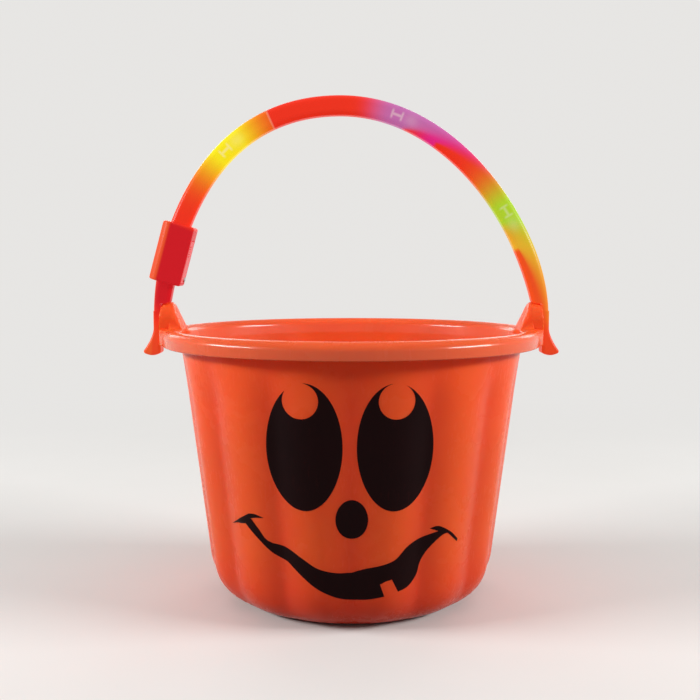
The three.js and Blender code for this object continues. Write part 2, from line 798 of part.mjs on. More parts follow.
function lamp() {
  const tip = [];
  for (let i = 0; i <= 4; i += 1) {
    const angle = i * Math.PI / 8;
    tip.push([lampRadius * Math.cos(angle), lampLength + lampRadius * Math.sin(angle)]);
  }
  tip[4][0] = 0;
  const flange = lampRadius + lampFlange;
  const flangeRim = [[0, 0], [flange, 0], [flange, lampFlangeHeight], [lampRadius, lampFlangeHeight]];
  let body = solid(turned([...flangeRim, ...tip], 20));
  for (const side of [-1, 1]) {
    const y = [side * leadInset, side * (wireSpread - wireRadius - fit)].sort((a, b) => a - b);
    const reach = [lampRadius - lampFlange, wireInset + leadThickness / 2];
    body = body.add(solid(block(reach, y, [0, leadThickness])));
  }
  return shaped(body);
}

function placeLamp(mesh, share) {
  const place = station(share + (ribThickness / 2 + fit) / archLength);
  mesh.position.copy(place.point);
  mesh.rotation.y = Math.atan2(place.along.x, place.along.z);
}

// One wire from the circuit board along the inner side of the tube to the last lamp
function wire(side) {
  const x = boxInnerWidth / 2 - wireFromDoor + side * wireStagger;
  const start = switchMiddle - wireDrop;
  const points = [start, start + wireRun].map((height) => (
    new THREE.Vector3(x, boardBack + fit + wireRadius, height).applyMatrix4(boxPlace)
  ));
  const first = boxShare + (boxLength / 2 + wireClear) / archLength;
  const last = greenAt + (ribThickness + wireClear) / archLength;
  for (let i = 0; i <= wireSteps; i += 1) {
    const place = station(first + (last - first) * i / wireSteps);
    points.push(ring(place, [[-wireInset, side * wireSpread]])[0]);
  }
  const section = new THREE.Shape();
  section.absarc(0, 0, wireRadius, 0, 2 * Math.PI, false);
  return outward(new THREE.ExtrudeGeometry(section, {
    steps: 2 * wireSteps, curveSegments: 3, extrudePath: new THREE.CatmullRomCurve3(points),
  }));
}

// Assembly

const skin = printSkin();
const bucket = new THREE.Group();
const box = new THREE.Group();
box.applyMatrix4(boxPlace);

function add(group, name, geometry, color, roughness, metalness = 0) {
  const closed = outward(geometry);
  closed.computeVertexNormals();
  const mesh = new THREE.Mesh(closed, new THREE.MeshStandardMaterial({ color, roughness, metalness }));
  mesh.name = name;
  group.add(mesh);
  return mesh;
}

const orange = 0xfa5f28;
const black = 0x1c0508;
const handlePlastic = 0xf54123;
const steel = 0xb8b8b4;
const nose = ellipse(noseMiddle, -noseDrop, noseWidth, noseHeight);

add(bucket, 'bucket_shell', shaped(bucketShell()), orange, 0.35);
add(bucket, 'face_left_eye', shaped(eye(-1)), black, 0.5);
add(bucket, 'face_right_eye', shaped(eye(1)), black, 0.5);
add(bucket, 'face_nose', shaped(printed([nose])), black, 0.5);
add(bucket, 'face_mouth', shaped(printed([mouthShape()], 3)), black, 0.5);

const handle = wholeHandle();
add(bucket, 'handle_front_half', shaped(handleHalf(handle, -1)), handlePlastic, 0.3);
add(bucket, 'handle_back_half', shaped(handleHalf(handle, 1)), handlePlastic, 0.3);
handleScrews().forEach((head, i) => {
  const screw = screwGeometry(screwLength).rotateX(-Math.PI / 2).translate(head.x, head.y, head.z);
  add(bucket, `handle_screw_${i + 1}`, screw, steel, 0.4, 1);
});

add(box, 'battery_door', shaped(batteryDoor()), handlePlastic, 0.3);
add(box, 'battery_door_screw', onDoor(screwGeometry(doorScrewLength)), steel, 0.4, 1);
add(box, 'push_button', pushButton(), black, 0.5);
add(box, 'tact_switch', shaped(tactSwitch()), 0x202020, 0.6);
add(box, 'circuit_board', circuitBoard(), 0x2e6b35, 0.6);
add(box, 'flasher_chip', flasherChip(), 0x101010, 0.4);
for (let i = 0; i < cellCount; i += 1) {
  add(box, `battery_cell_${i + 1}`, buttonCell(i), steel, 0.3, 1);
}
add(box, 'battery_spring_contact', shaped(springContact()), steel, 0.35, 1);
add(box, 'battery_flat_contact', contactPlate(stackTop - contactThickness), steel, 0.35, 1);
bucket.add(box);

for (const [name, share, color] of [
  ['lamp_yellow', yellowAt, 0xfff028], ['lamp_purple', purpleAt, 0xc85faf], ['lamp_green', greenAt, 0xb9d732],
]) {
  placeLamp(add(bucket, name, lamp(), color, 0.2), share);
}
add(bucket, 'lamp_wire_front', wire(-1), 0x801515, 0.6);
add(bucket, 'lamp_wire_back', wire(1), 0x202020, 0.6);

export default bucket;
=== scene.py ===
# Trick-or-treat bucket: a moulded pumpkin bucket with a printed face and a handle that lights up.
# Metres, +Z up. The bucket stands on z = 0, its face looks along -Y and its ears lie on +X and -X.

import math

import bmesh
import bpy
import numpy as np
from mathutils import Matrix, Vector
from mathutils.geometry import delaunay_2d_cdt


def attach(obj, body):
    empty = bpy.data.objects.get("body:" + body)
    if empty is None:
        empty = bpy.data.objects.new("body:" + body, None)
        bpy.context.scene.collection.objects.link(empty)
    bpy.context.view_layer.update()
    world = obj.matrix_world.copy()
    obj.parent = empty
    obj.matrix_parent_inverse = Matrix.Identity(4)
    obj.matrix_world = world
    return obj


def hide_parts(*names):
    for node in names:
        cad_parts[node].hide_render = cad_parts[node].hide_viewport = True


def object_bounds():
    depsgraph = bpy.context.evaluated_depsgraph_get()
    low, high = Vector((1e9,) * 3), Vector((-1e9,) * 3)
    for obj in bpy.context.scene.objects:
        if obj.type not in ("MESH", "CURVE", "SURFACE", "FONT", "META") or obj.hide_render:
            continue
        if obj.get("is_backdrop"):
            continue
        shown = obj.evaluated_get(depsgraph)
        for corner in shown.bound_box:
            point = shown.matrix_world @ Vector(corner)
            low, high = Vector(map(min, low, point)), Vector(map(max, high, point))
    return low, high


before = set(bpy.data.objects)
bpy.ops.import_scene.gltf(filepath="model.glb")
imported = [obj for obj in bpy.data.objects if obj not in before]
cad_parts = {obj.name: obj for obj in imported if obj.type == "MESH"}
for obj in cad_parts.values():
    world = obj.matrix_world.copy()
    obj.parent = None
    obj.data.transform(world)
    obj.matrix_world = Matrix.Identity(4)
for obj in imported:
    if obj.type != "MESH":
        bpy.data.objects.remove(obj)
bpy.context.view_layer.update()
scene = bpy.context.scene
scene.view_settings.view_transform = "Standard"


# The view: a camera a little above the rim that looks slightly down, so that the mouth of the bucket
# opens towards it, with the whole handle in the frame.
camera = bpy.data.objects.new("camera", bpy.data.cameras.new("camera"))
camera.location = (-0.0008, -0.660, 0.2149)
camera.rotation_euler = (math.radians(85), 0, 0)
camera.data.sensor_fit = "HORIZONTAL"
camera.data.sensor_width = 36
camera.data.lens = 52.85
camera.data.clip_start = 0.01
scene.collection.objects.link(camera)
scene.camera = camera


# The floor: a pale matt sheet under soft light that melts into the backdrop with distance. It only
# shows the bucket's shadow.
FLOOR_REACH = 8
FLOOR_DROP = 0.0002
FLOOR_FADE = (0.4, 1.0)       # distances between which it melts into the backdrop
PALE, PALER = (0.80, 0.79, 0.77, 1), (0.83, 0.82, 0.80, 1)
DIM = (0.24, 0.23, 0.22, 1)   # what it sends back up at the bucket
BACKDROP = (1, 0.985, 0.965, 1)
BACKDROP_LIGHT = 0.20         # what the backdrop gives the bucket
BACKDROP_SEEN = 0.80          # how pale the backdrop itself looks
FLOOR_GRAIN = (9.0, 3.0)      # scale and detail of its faint mottle


def put(tree, kind, inputs=(), **settings):
    """Adds a node to a tree. Each input is a socket to link from, a plain value, or None."""
    node = tree.nodes.new(kind)
    for name, value in settings.items():
        setattr(node, name, value)
    for socket, value in zip(node.inputs, inputs):
        if isinstance(value, bpy.types.NodeSocket):
            tree.links.new(value, socket)
        elif value is not None:
            socket.default_value = value
    return node


def maths(tree, operation, *values):
    """One step of arithmetic in a tree."""
    return put(tree, "ShaderNodeMath", values, operation=operation).outputs[0]


def times(tree, first, second):
    return maths(tree, "MULTIPLY", first, second)


def lifted(tree, base, share, gain):
    """A base value, raised by a share of a gain."""
    return maths(tree, "ADD", base, times(tree, share, gain))


def ramp(tree, value, *limits, kind="LINEAR"):
    """How far a value has come from one limit to the next, from 0 to 1 unless two ends are given."""
    return put(tree, "ShaderNodeMapRange", (value, *limits), interpolation_type=kind).outputs[0]


def here(tree):
    """The place on the object itself."""
    return put(tree, "ShaderNodeTexCoord").outputs["Object"]


def noise(tree, place, *sizes):
    """Soft noise, by its scale, detail and roughness."""
    return put(tree, "ShaderNodeTexNoise", (place, None, *sizes)).outputs[0]


def paint(code):
    """A colour as it is seen, such as "fa5f28", as Blender's linear one."""
    seen = [int(code[i:i + 2], 16) / 255 for i in (0, 2, 4)]
    return (*(c / 12.92 if c <= 0.04045 else ((c + 0.055) / 1.055) ** 2.4 for c in seen), 1)


def mixed(tree, share, *colours):
    """Two colours mixed by a share from 0 to 1. Each is a socket, a plain colour or its code."""
    colours = [paint(colour) if isinstance(colour, str) else colour for colour in colours]
    return put(tree, "ShaderNodeMix", (share, *[None] * 5, *colours), data_type="RGBA").outputs[2]


def tinted(tree, colour, share, strength, code):
    """A colour drawn towards another one by a share of a strength."""
    return mixed(tree, times(tree, share, strength), colour, code)


def finish(name, constants):
    """A Principled material with plain numbers on its sockets; returns it with its tree and shader."""
    material = bpy.data.materials.new(name)
    material.use_nodes = True
    shader = material.node_tree.nodes["Principled BSDF"]
    for socket, value in constants.items():
        shader.inputs[socket].default_value = value
    return material, material.node_tree, shader


def feed(tree, shader, sources):
    """Links what varies over the surface to a material's sockets."""
    for socket, source in sources.items():
        tree.links.new(source, shader.inputs[socket])


def as_seen(tree):
    """1 where a thing is looked at, also in what is polished or clear, and 0 where it only gives light."""
    path = put(tree, "ShaderNodeLightPath").outputs
    seen = maths(tree, "MAXIMUM", path["Is Camera Ray"], path["Is Glossy Ray"])
    return maths(tree, "MAXIMUM", seen, path["Is Transmission Ray"])


def backdrop_strength(tree):
    """The backdrop: pale as it is seen, and dimmer where it only gives light."""
    return lifted(tree, BACKDROP_LIGHT, as_seen(tree), BACKDROP_SEEN - BACKDROP_LIGHT)


floor_mesh = bpy.data.meshes.new("floor")
floor_mesh.from_pydata(
    [(x * FLOOR_REACH, y * FLOOR_REACH, -FLOOR_DROP) for x, y in ((-1, -1), (1, -1), (1, 1), (-1, 1))],
    [], [(0, 1, 2, 3)])
floor = bpy.data.objects.new("floor", floor_mesh)
scene.collection.objects.link(floor)
floor_paint, tree, shader = finish("pale floor", {"Roughness": 0.9, "Specular IOR Level": 0.0})
place = here(tree)
pale = mixed(tree, noise(tree, place, *FLOOR_GRAIN), PALE, PALER)
feed(tree, shader, {"Base Color": mixed(tree, as_seen(tree), DIM, pale)})
away = put(tree, "ShaderNodeVectorMath", (place,), operation="LENGTH").outputs["Value"]
away = ramp(tree, away, *FLOOR_FADE, kind="SMOOTHSTEP")
distant = put(tree, "ShaderNodeEmission", (BACKDROP, backdrop_strength(tree))).outputs[0]
faded = put(tree, "ShaderNodeMixShader", (away, shader.outputs[0], distant)).outputs[0]
tree.links.new(faded, tree.nodes["Material Output"].inputs["Surface"])
floor_mesh.materials.append(floor_paint)
floor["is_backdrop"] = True


# The light: a pale backdrop all round, a wide soft lamp on each side, a smaller one behind each
# shoulder, and a large one overhead.
LAMPS = (
    # name, degrees round from the front, height, distance, width, length, power
    ("left_lamp", -77, 0.98, 2.1, 1.15, 0.30, 44),
    ("right_lamp", 76, 0.98, 2.1, 1.15, 0.30, 45),
    ("back_left_lamp", -158, 0.98, 2.3, 1.20, 0.45, 7),
    ("back_right_lamp", 158, 0.98, 2.3, 1.20, 0.45, 7),
)
OVERHEAD_SIZE, OVERHEAD_HEIGHT, OVERHEAD_POWER = 2.4, 2.5, 7
AIM = Vector((0, 0, 0.14))

for name, turn, height, distance, width, length, power in LAMPS:
    lamp = bpy.data.lights.new(name, "AREA")
    lamp.shape, lamp.size, lamp.size_y, lamp.energy = "RECTANGLE", width, length, power
    stand = bpy.data.objects.new(name, lamp)
    angle = math.radians(turn)
    stand.location = (distance * math.sin(angle), -distance * math.cos(angle), height)
    stand.rotation_euler = (AIM - stand.location).to_track_quat("-Z", "Y").to_euler()
    scene.collection.objects.link(stand)
overhead = bpy.data.lights.new("overhead_lamp", "AREA")
overhead.size, overhead.energy = OVERHEAD_SIZE, OVERHEAD_POWER
stand = bpy.data.objects.new("overhead_lamp", overhead)
stand.location = (0, 0, OVERHEAD_HEIGHT)
scene.collection.objects.link(stand)

scene.world = bpy.data.worlds.new("backdrop")
scene.world.use_nodes = True
tree = scene.world.node_tree
tree.nodes.clear()
backdrop = put(tree, "ShaderNodeBackground", (BACKDROP, backdrop_strength(tree))).outputs[0]
put(tree, "ShaderNodeOutputWorld", (backdrop,))


# The bucket: one thin moulding in orange polypropylene. Its wall leans out in fourteen lobes with
# soft creases between them, and folds over at the top into a hollow rim with a skirt. The two ears
# that carry the handle grow out of the rim.
RIM_HEIGHT = 0.1715
RIM_RADIUS = 0.1195
RIM_DROP = 0.0103
RIM_ROLL = 0.005
WALL = 0.002
BODY_TOP_RADIUS = 0.1086
TAPER = math.radians(7.2)
FOOT_CORNER = 0.030
STAND_WIDTH = 0.006
STAND_RECESS = 0.0015
LOBES = 14
CREASE_DEPTH = 0.0032
CREASE_SOFTNESS = 0.28
CREASE_FADE = 0.034
LIP = 0.0007                  # rounding of the skirt's lower edge
SKIRT_ROWS = (0.002, 0.003, 0.0037)   # rows above that edge that keep the skirt flat
GATE_RADIUS = 0.0024          # the stub under the floor where the plastic was let in
GATE_HEIGHT = 0.0006
GATE_FLARE = 1.15             # how much wider it is at its root
EAR_RADIUS = 0.0115
EAR_FACE = 0.1215
EAR_FILLET = 0.003            # rounding between the ear's edge and the crest of the rim
EAR_SPREAD = 0.0095           # length over which the rim thickens towards the ear
HAIR = 1e-6                   # a length too small to matter
PIVOT_RISE = 0.0053
PIN_RADIUS = 0.0035
PIN_LENGTH = 0.0095
FIT = 0.0003
BORE_BEYOND = 0.01            # how far the cutter of the bore stands out of the ear

SKIRT_HEIGHT = RIM_HEIGHT - RIM_DROP
RIM_FOOT = RIM_HEIGHT - RIM_ROLL
PIVOT_HEIGHT = RIM_HEIGHT + PIVOT_RISE
CORNER_TOP = FOOT_CORNER * (1 - math.sin(TAPER))


def wall_radius(height):
    """Outside of the lobes on the sloping part of the wall."""
    return BODY_TOP_RADIUS - (SKIRT_HEIGHT - height) * math.tan(TAPER)


STAND_RADIUS = wall_radius(CORNER_TOP) - FOOT_CORNER * math.cos(TAPER)


def wall_at(height, offset):
    """Radius of the wall, offset from its outside, and the share of the full crease there."""
    reach = FOOT_CORNER + offset
    if height < FOOT_CORNER - reach * math.sin(TAPER):
        angle = math.acos(min(1, (FOOT_CORNER - height) / reach))
        return STAND_RADIUS + reach * math.sin(angle), math.sin(angle) ** 2
    fade = min(1, max(0, (RIM_FOOT - height) / CREASE_FADE))
    return wall_radius(height) + offset / math.cos(TAPER), fade


def wall_rows(offset, corner_steps, wall_steps):
    """Rows up one face of the wall, from the floor to the foot of the rim."""
    rows = []
    for angle in np.linspace(0, math.pi / 2 - TAPER, corner_steps):
        reach = FOOT_CORNER + offset
        height = FOOT_CORNER - reach * math.cos(angle)
        rows.append((STAND_RADIUS + reach * math.sin(angle), height, math.sin(angle) ** 2))
    first = rows[-1][1]
    for height in np.linspace(first, RIM_FOOT, wall_steps)[1:]:
        radius, fade = wall_at(height, offset)
        rows.append((radius, height, fade))
    return rows


def rim_rows(offset, angles):
    """Rows over the rim, in degrees from its inside to its outside."""
    inside = wall_radius(RIM_FOOT) - WALL / math.cos(TAPER) - offset
    outside = RIM_RADIUS + offset
    middle, half = (inside + outside) / 2, (outside - inside) / 2
    rise = RIM_ROLL + offset
    return [(middle - half * math.cos(a), RIM_FOOT + rise * math.sin(a), 0) for a in np.radians(angles)]


# Across the ear, from the bucket's inside to its outside: where each row lies on the plain rim, in
# degrees over it, and where it lies at the middle of the ear, as distance from the bucket's axis
# and height above the crest, in millimetres.
EAR_ROWS = (
    (0, 107.2, -5.0), (10, 107.0, -4.1), (20, 106.8, -3.0), (29, 106.7, -1.8), (37, 106.8, -0.5),
    (44, 107.1, 0.9), (50, 107.6, 2.4), (55, 108.2, 4.1), (60, 108.9, 5.9), (65, 109.7, 7.8),
    (70, 110.6, 9.8), (75, 111.4, 11.7), (79, 112.0, 13.2), (83, 112.6, 14.4), (87, 113.2, 15.4),
    (91, 113.9, 16.1), (95, 114.7, 16.6), (99, 115.8, 16.8), (103, 117.2, 16.8), (107, 118.9, 16.7),
    (111, 120.2, 16.3), (115, 121.0, 15.6), (120, 121.4, 14.5), (126, 121.5, 12.4), (133, 121.5, 9.0),
    (141, 121.5, 5.4), (150, 121.5, 2.0), (160, 121.5, -1.0), (170, 121.5, -3.2), (180, 121.5, -5.0),
)
EAR_FILLET_END = 115.3        # the rounding beside the ear stops here, clear of the lowered handle
MM = 0.001
# Columns over the ear, round its fillet, along its spread and between the ears, and two beyond it
EAR_STEPS, FILLET_STEPS, SPREAD_STEPS, BETWEEN_STEPS = 41, 9, 8, 141
FILLET_START = 3              # degrees
BEYOND_EAR = (0.0012, 0.0026)


def ear_rise(y):
    """Height of the ear above the crest of the rim, as a share of its full height, and how far the rim
    has turned into the ear."""
    full = PIVOT_RISE + EAR_RADIUS
    beside = abs(y) - EAR_RADIUS
    if beside <= 0:
        return (PIVOT_RISE + math.sqrt(EAR_RADIUS ** 2 - y * y)) / full, 1
    left = max(0, 1 - beside / EAR_FILLET)
    turned = max(0, 1 - beside / EAR_SPREAD)
    return PIVOT_RISE * (1 - math.sqrt(1 - left * left)) / full, turned * turned * (3 - 2 * turned)


def column_angles():
    """Columns round the bucket, from the front, closer together at the ears."""
    over = EAR_RADIUS * np.sin(np.radians(np.linspace(-90, 90, EAR_STEPS)))
    arc = np.radians(np.linspace(FILLET_START, 90, FILLET_STEPS))
    spread = np.linspace(EAR_FILLET, EAR_SPREAD, SPREAD_STEPS)[1:]
    fillet = EAR_RADIUS + np.concatenate([EAR_FILLET * (1 - np.cos(arc)), spread])
    beyond = fillet[-1] + np.array(BEYOND_EAR)
    ear = np.concatenate([-beyond[::-1], -fillet[::-1], over, fillet, beyond])
    ear = np.arcsin(ear / RIM_RADIUS)
    between = np.linspace(ear[-1], math.pi - ear[-1], BETWEEN_STEPS)[1:-1]
    return np.concatenate([between, ear + math.pi, between + math.pi, ear + 2 * math.pi]) - math.pi / 2


def shell_rows():
    """Rows of the whole section, from the middle underneath to the middle of the floor inside."""
    floor_radius = STAND_RADIUS - STAND_WIDTH
    ease = STAND_RECESS / 3
    lip_angles = np.radians(np.linspace(0, 180, 9))
    lip_middle = RIM_RADIUS - WALL / 2
    rows = [
        (0, STAND_RECESS - GATE_HEIGHT, 0), (GATE_RADIUS, STAND_RECESS - GATE_HEIGHT, 0),
        (GATE_RADIUS * GATE_FLARE, STAND_RECESS, 0), (floor_radius / 2, STAND_RECESS, 0),
        (floor_radius - STAND_RECESS - ease, STAND_RECESS, 0),
        (floor_radius - STAND_RECESS, STAND_RECESS - ease / 3, 0),
        (floor_radius - ease, ease / 2, 0), (floor_radius, 0, 0),
    ]
    rows += wall_rows(0, corner_steps=16, wall_steps=26)[:-1]
    rows += rim_rows(-WALL, np.linspace(0, 180, 13))
    low, middle, high = (SKIRT_HEIGHT + rise for rise in SKIRT_ROWS)
    rows += [(RIM_RADIUS - WALL, middle, 0)]
    rows += [(lip_middle - WALL / 2 * math.cos(a), SKIRT_HEIGHT + LIP * (1 - math.sin(a)), 0)
             for a in lip_angles]
    rows += [(RIM_RADIUS, low, 0), (RIM_RADIUS, high, 0)]
    first_over = len(rows)
    rows += rim_rows(0, [row[0] for row in reversed(EAR_ROWS)])
    rows += wall_rows(-WALL, corner_steps=12, wall_steps=24)[:-1][::-1]
    rows += [
        (floor_radius + ease, WALL, 0), (floor_radius - ease, WALL + ease / 2, 0),
        (floor_radius - STAND_RECESS, WALL + STAND_RECESS - ease / 2, 0),
        (floor_radius - STAND_RECESS - ease, WALL + STAND_RECESS, 0),
        (floor_radius / 2, WALL + STAND_RECESS, 0), (0, WALL + STAND_RECESS, 0),
    ]
    return rows, first_over


def new_piece(name, mesh):
    """An object at the origin that holds a finished mesh."""
    piece = bpy.data.objects.new(name, mesh)
    scene.collection.objects.link(piece)
    return piece


def as_mesh(name, points, faces, **marks):
    """A mesh from points and faces, with every face turned outwards and marks kept on its points."""
    mesh = bpy.data.meshes.new(name)
    mesh.from_pydata([tuple(point) for point in points], [], faces)
    for mark, values in marks.items():
        mesh.attributes.new(mark, "FLOAT", "POINT").data.foreach_set("value", values)
    work = bmesh.new()
    work.from_mesh(mesh)
    bmesh.ops.remove_doubles(work, verts=work.verts, dist=1e-7)
    bmesh.ops.recalc_face_normals(work, faces=work.faces)
    work.to_mesh(mesh)
    work.free()
    return mesh


def band_faces(rings, count):
    """Faces between rings of points that follow one another, each with the same count."""
    faces = []
    for start in range(0, (rings - 1) * count, count):
        for j in range(count):
            k = (j + 1) % count
            faces.append((start + j, start + k, start + count + k, start + count + j))
    return faces


def bucket_mesh():
    """The shell without its creases, which the rule after this presses in."""
    rows, first_over = shell_rows()
    angles = column_angles()
    points, weights = [], []
    ear_rows = dict(enumerate(reversed(EAR_ROWS), first_over))
    for row, (radius, height, crease) in enumerate(rows):
        ear_row = ear_rows.get(row)
        on_skirt = RIM_RADIUS - WALL / 2 < radius and row < first_over
        for angle in angles:
            x, y, z = radius * math.sin(angle), -radius * math.cos(angle), height
            side = math.copysign(1, x)
            straight = RIM_RADIUS * -math.cos(angle)
            rise, pad = ear_rise(straight)
            if ear_row and ear_row[1] > EAR_FILLET_END and abs(straight) > EAR_RADIUS + HAIR:
                rise = 0
            if ear_row and pad > 0:
                x += (side * ear_row[1] * MM - x) * pad
                y += (straight - y) * pad
                z += (RIM_HEIGHT + ear_row[2] * MM - z) * rise
            elif on_skirt and pad > 0:
                x += (side * EAR_FACE - x) * pad
                y += (straight - y) * pad
            points.append((x, y, z))
            weights.append(crease)
    faces = band_faces(len(rows), len(angles))
    return as_mesh("bucket_shell_fine", points, faces, crease=weights)


# The kind of socket that takes a plain value
SOCKETS = {float: "Float", int: "Int", tuple: "Vector"}


def new_rule(name, inputs, outputs=("Geometry",)):
    """A node group with named inputs and outputs; returns it with its two end nodes. One that gives a
    geometry shapes a piece and sets its material, and any other belongs in a material."""
    shapes = outputs == ("Geometry",)
    tree = bpy.data.node_groups.new(name, "GeometryNodeTree" if shapes else "ShaderNodeTree")
    if shapes:
        inputs = {"Geometry": "Geometry", **inputs, "Material": "Material"}
    for label, value in inputs.items():
        kind = value if isinstance(value, str) else SOCKETS[type(value)]
        made = tree.interface.new_socket(label, in_out="INPUT", socket_type="NodeSocket" + kind)
        if kind != value:
            made.default_value = value
    for label in outputs:
        kind = "Geometry" if shapes else "Float"
        tree.interface.new_socket(label, in_out="OUTPUT", socket_type="NodeSocket" + kind)
    return tree, tree.nodes.new("NodeGroupInput").outputs, tree.nodes.new("NodeGroupOutput").inputs


def end_rule(tree, given, result, geometry):
    """Makes what a rule has built real, and gives it the rule's material."""
    real = put(tree, "GeometryNodeRealizeInstances", (geometry,)).outputs[0]
    done = put(tree, "GeometryNodeSetMaterial", (real, None, given["Material"])).outputs[0]
    tree.links.new(done, result["Geometry"])
    return tree


def apply_rule(piece, tree, **values):
    """Runs a geometry rule on a piece with its inputs set, and keeps the result as a plain mesh."""
    step = piece.modifiers.new(tree.name, "NODES")
    step.node_group = tree
    for item in tree.interface.items_tree:
        if item.in_out == "INPUT" and item.name.replace(" ", "_") in values:
            step[item.identifier] = values[item.name.replace(" ", "_")]
    keep(piece)


def keep(piece):
    """Turns what a piece's modifiers make into its own mesh."""
    evaluated = piece.evaluated_get(bpy.context.evaluated_depsgraph_get())
    mesh = bpy.data.meshes.new_from_object(evaluated)
    piece.modifiers.clear()
    piece.data = mesh


def lobes_rule():
    """Presses soft creases into a round wall, as deep as its crease attribute says."""
    tree, given, result = new_rule("pumpkin lobes", {
        "Lobe Count": 14.0, "Crease Depth": 0.003, "Crease Softness": 0.3})
    place = put(tree, "GeometryNodeInputPosition").outputs[0]
    x, y, _ = put(tree, "ShaderNodeSeparateXYZ", (place,)).outputs
    turn = maths(tree, "ARCTAN2", x, times(tree, y, -1))
    soft = given["Crease Softness"]
    softer = times(tree, soft, soft)
    wave = maths(tree, "SINE", times(tree, turn, maths(tree, "DIVIDE", given["Lobe Count"], 2)))
    wave = maths(tree, "SQRT", maths(tree, "ADD", times(tree, wave, wave), softer))
    full = maths(tree, "SQRT", maths(tree, "ADD", softer, 1))
    groove = maths(tree, "SUBTRACT", 1, maths(tree, "DIVIDE", wave, full))
    groove = maths(tree, "DIVIDE", groove, maths(tree, "SUBTRACT", 1, maths(tree, "DIVIDE", soft, full)))
    weight = put(tree, "GeometryNodeInputNamedAttribute", ("crease",)).outputs[0]
    groove = times(tree, groove, weight)
    press = times(tree, times(tree, groove, given["Crease Depth"]), -1)
    flat = put(tree, "ShaderNodeCombineXYZ", (x, y, 0.0)).outputs[0]
    away = put(tree, "ShaderNodeVectorMath", (flat,), operation="NORMALIZE").outputs[0]
    offset = put(tree, "ShaderNodeVectorMath", (away,), operation="SCALE")
    tree.links.new(press, offset.inputs["Scale"])
    kept = put(tree, "GeometryNodeStoreNamedAttribute", (given["Geometry"],), domain="POINT")
    kept.inputs["Name"].default_value = "groove"
    tree.links.new(groove, kept.inputs["Value"])
    pressed = put(tree, "GeometryNodeSetPosition", (kept.outputs[0], None, None, offset.outputs[0]))
    return end_rule(tree, given, result, pressed.outputs[0])


# Scuffs: thin upright lines within patches, each by its noise's scale, detail and roughness
SCUFF_STRETCH = (1.0, 1.0, 0.12)
SCUFF_LINES, SCUFF_PATCHES = (700.0, 3.0, 0.7), (38.0, 3.0, 0.6)


def build_moulded_skin():
    """Moulded plastic: slow changes of tone, a fine satin grain, and scuffs that dull the gloss."""
    tree, given, result = new_rule("moulded skin", {
        "Grain Size": 0.0006, "Tone Size": 0.03, "Scuff Amount": 0.3}, ("Tone", "Height", "Scuff"))
    place = here(tree)
    stretch = put(tree, "ShaderNodeMapping", (place, None, None, SCUFF_STRETCH)).outputs[0]
    lines = ramp(tree, noise(tree, stretch, *SCUFF_LINES), 0.56, 0.70)
    patches = ramp(tree, noise(tree, place, *SCUFF_PATCHES), 0.48, 0.66)
    scuff = times(tree, times(tree, lines, patches), given["Scuff Amount"])
    tone = noise(tree, place, maths(tree, "DIVIDE", 1, given["Tone Size"]), 4.0, 0.55)
    grain = noise(tree, place, maths(tree, "DIVIDE", 1, given["Grain Size"]), 2.0, 0.6)
    for label, value in (("Tone", tone), ("Height", grain), ("Scuff", scuff)):
        tree.links.new(value, result[label])
    return tree


MOULDED_SKIN = build_moulded_skin()


def skin_in(tree, *sizes):
    """Places the moulded skin in a material: its grain size, its tone size and how scuffed it is."""
    return put(tree, "ShaderNodeGroup", sizes, node_tree=MOULDED_SKIN).outputs


def bump(tree, height, strength, distance):
    """Small relief from a height, in metres."""
    return put(tree, "ShaderNodeBump", (strength, distance, None, height)).outputs[0]


def attribute(tree, name):
    return put(tree, "ShaderNodeAttribute", (), attribute_name=name).outputs["Fac"]


# Painted shade: the shell is drawn darker and redder towards its foot, between these heights.
FOOT_SHADE = (0.055, 0.008, 0.0, 0.7)   # heights between which it deepens, and how much
RIM_POLISH = 0.7


def shell_material():
    """Orange polypropylene that glows a little where it is thin, with painted shade that makes it redder
    in its creases and near its foot, and a polish on the outside of the rim."""
    material, tree, shader = finish("shell orange", {
        "Specular IOR Level": 0.10, "Subsurface Weight": 0.45, "Subsurface Scale": 0.009,
        "Subsurface Radius": (1.0, 0.35, 0.1), "Coat Roughness": 0.16})
    skin = skin_in(tree, 0.0007, 0.035, 0.25)
    height = put(tree, "ShaderNodeSeparateXYZ", (here(tree),)).outputs["Z"]
    low = ramp(tree, height, *FOOT_SHADE, kind="SMOOTHSTEP")
    above = ramp(tree, height, SKIRT_HEIGHT, SKIRT_HEIGHT + LIP)
    below = ramp(tree, height, RIM_FOOT + RIM_ROLL * 0.8, RIM_FOOT)
    colour = mixed(tree, skin["Tone"], "f75728", "fc632e")
    # Painted shade: the wall is drawn darker and redder towards its foot.
    colour = mixed(tree, low, colour, "e84024")
    # Painted shade: the creases are drawn darker and redder.
    colour = tinted(tree, colour, attribute(tree, "groove"), 0.5, "d63d28")
    colour = tinted(tree, colour, skin["Scuff"], 0.2, "ff8a55")
    rough = lifted(tree, 0.23, skin["Scuff"], 0.35)
    feed(tree, shader, {
        "Base Color": colour, "Roughness": lifted(tree, rough, skin["Tone"], 0.08),
        "Coat Weight": times(tree, times(tree, above, below), RIM_POLISH),
        "Normal": bump(tree, skin["Height"], 0.12, 0.0002)})
    return material


def rod(name, radius, start, end, sides=48):
    """A round bar between two points, as a cutter or a pin."""
    axis = Vector(end) - Vector(start)
    work = bmesh.new()
    bmesh.ops.create_cone(work, cap_ends=True, segments=sides, radius1=radius, radius2=radius,
                          depth=axis.length)
    turn = axis.to_track_quat("Z", "Y").to_matrix().to_4x4()
    bmesh.ops.transform(work, matrix=Matrix.Translation((Vector(start) + Vector(end)) / 2) @ turn,
                        verts=work.verts)
    mesh = bpy.data.meshes.new(name)
    work.to_mesh(mesh)
    work.free()
    return new_piece(name, mesh)


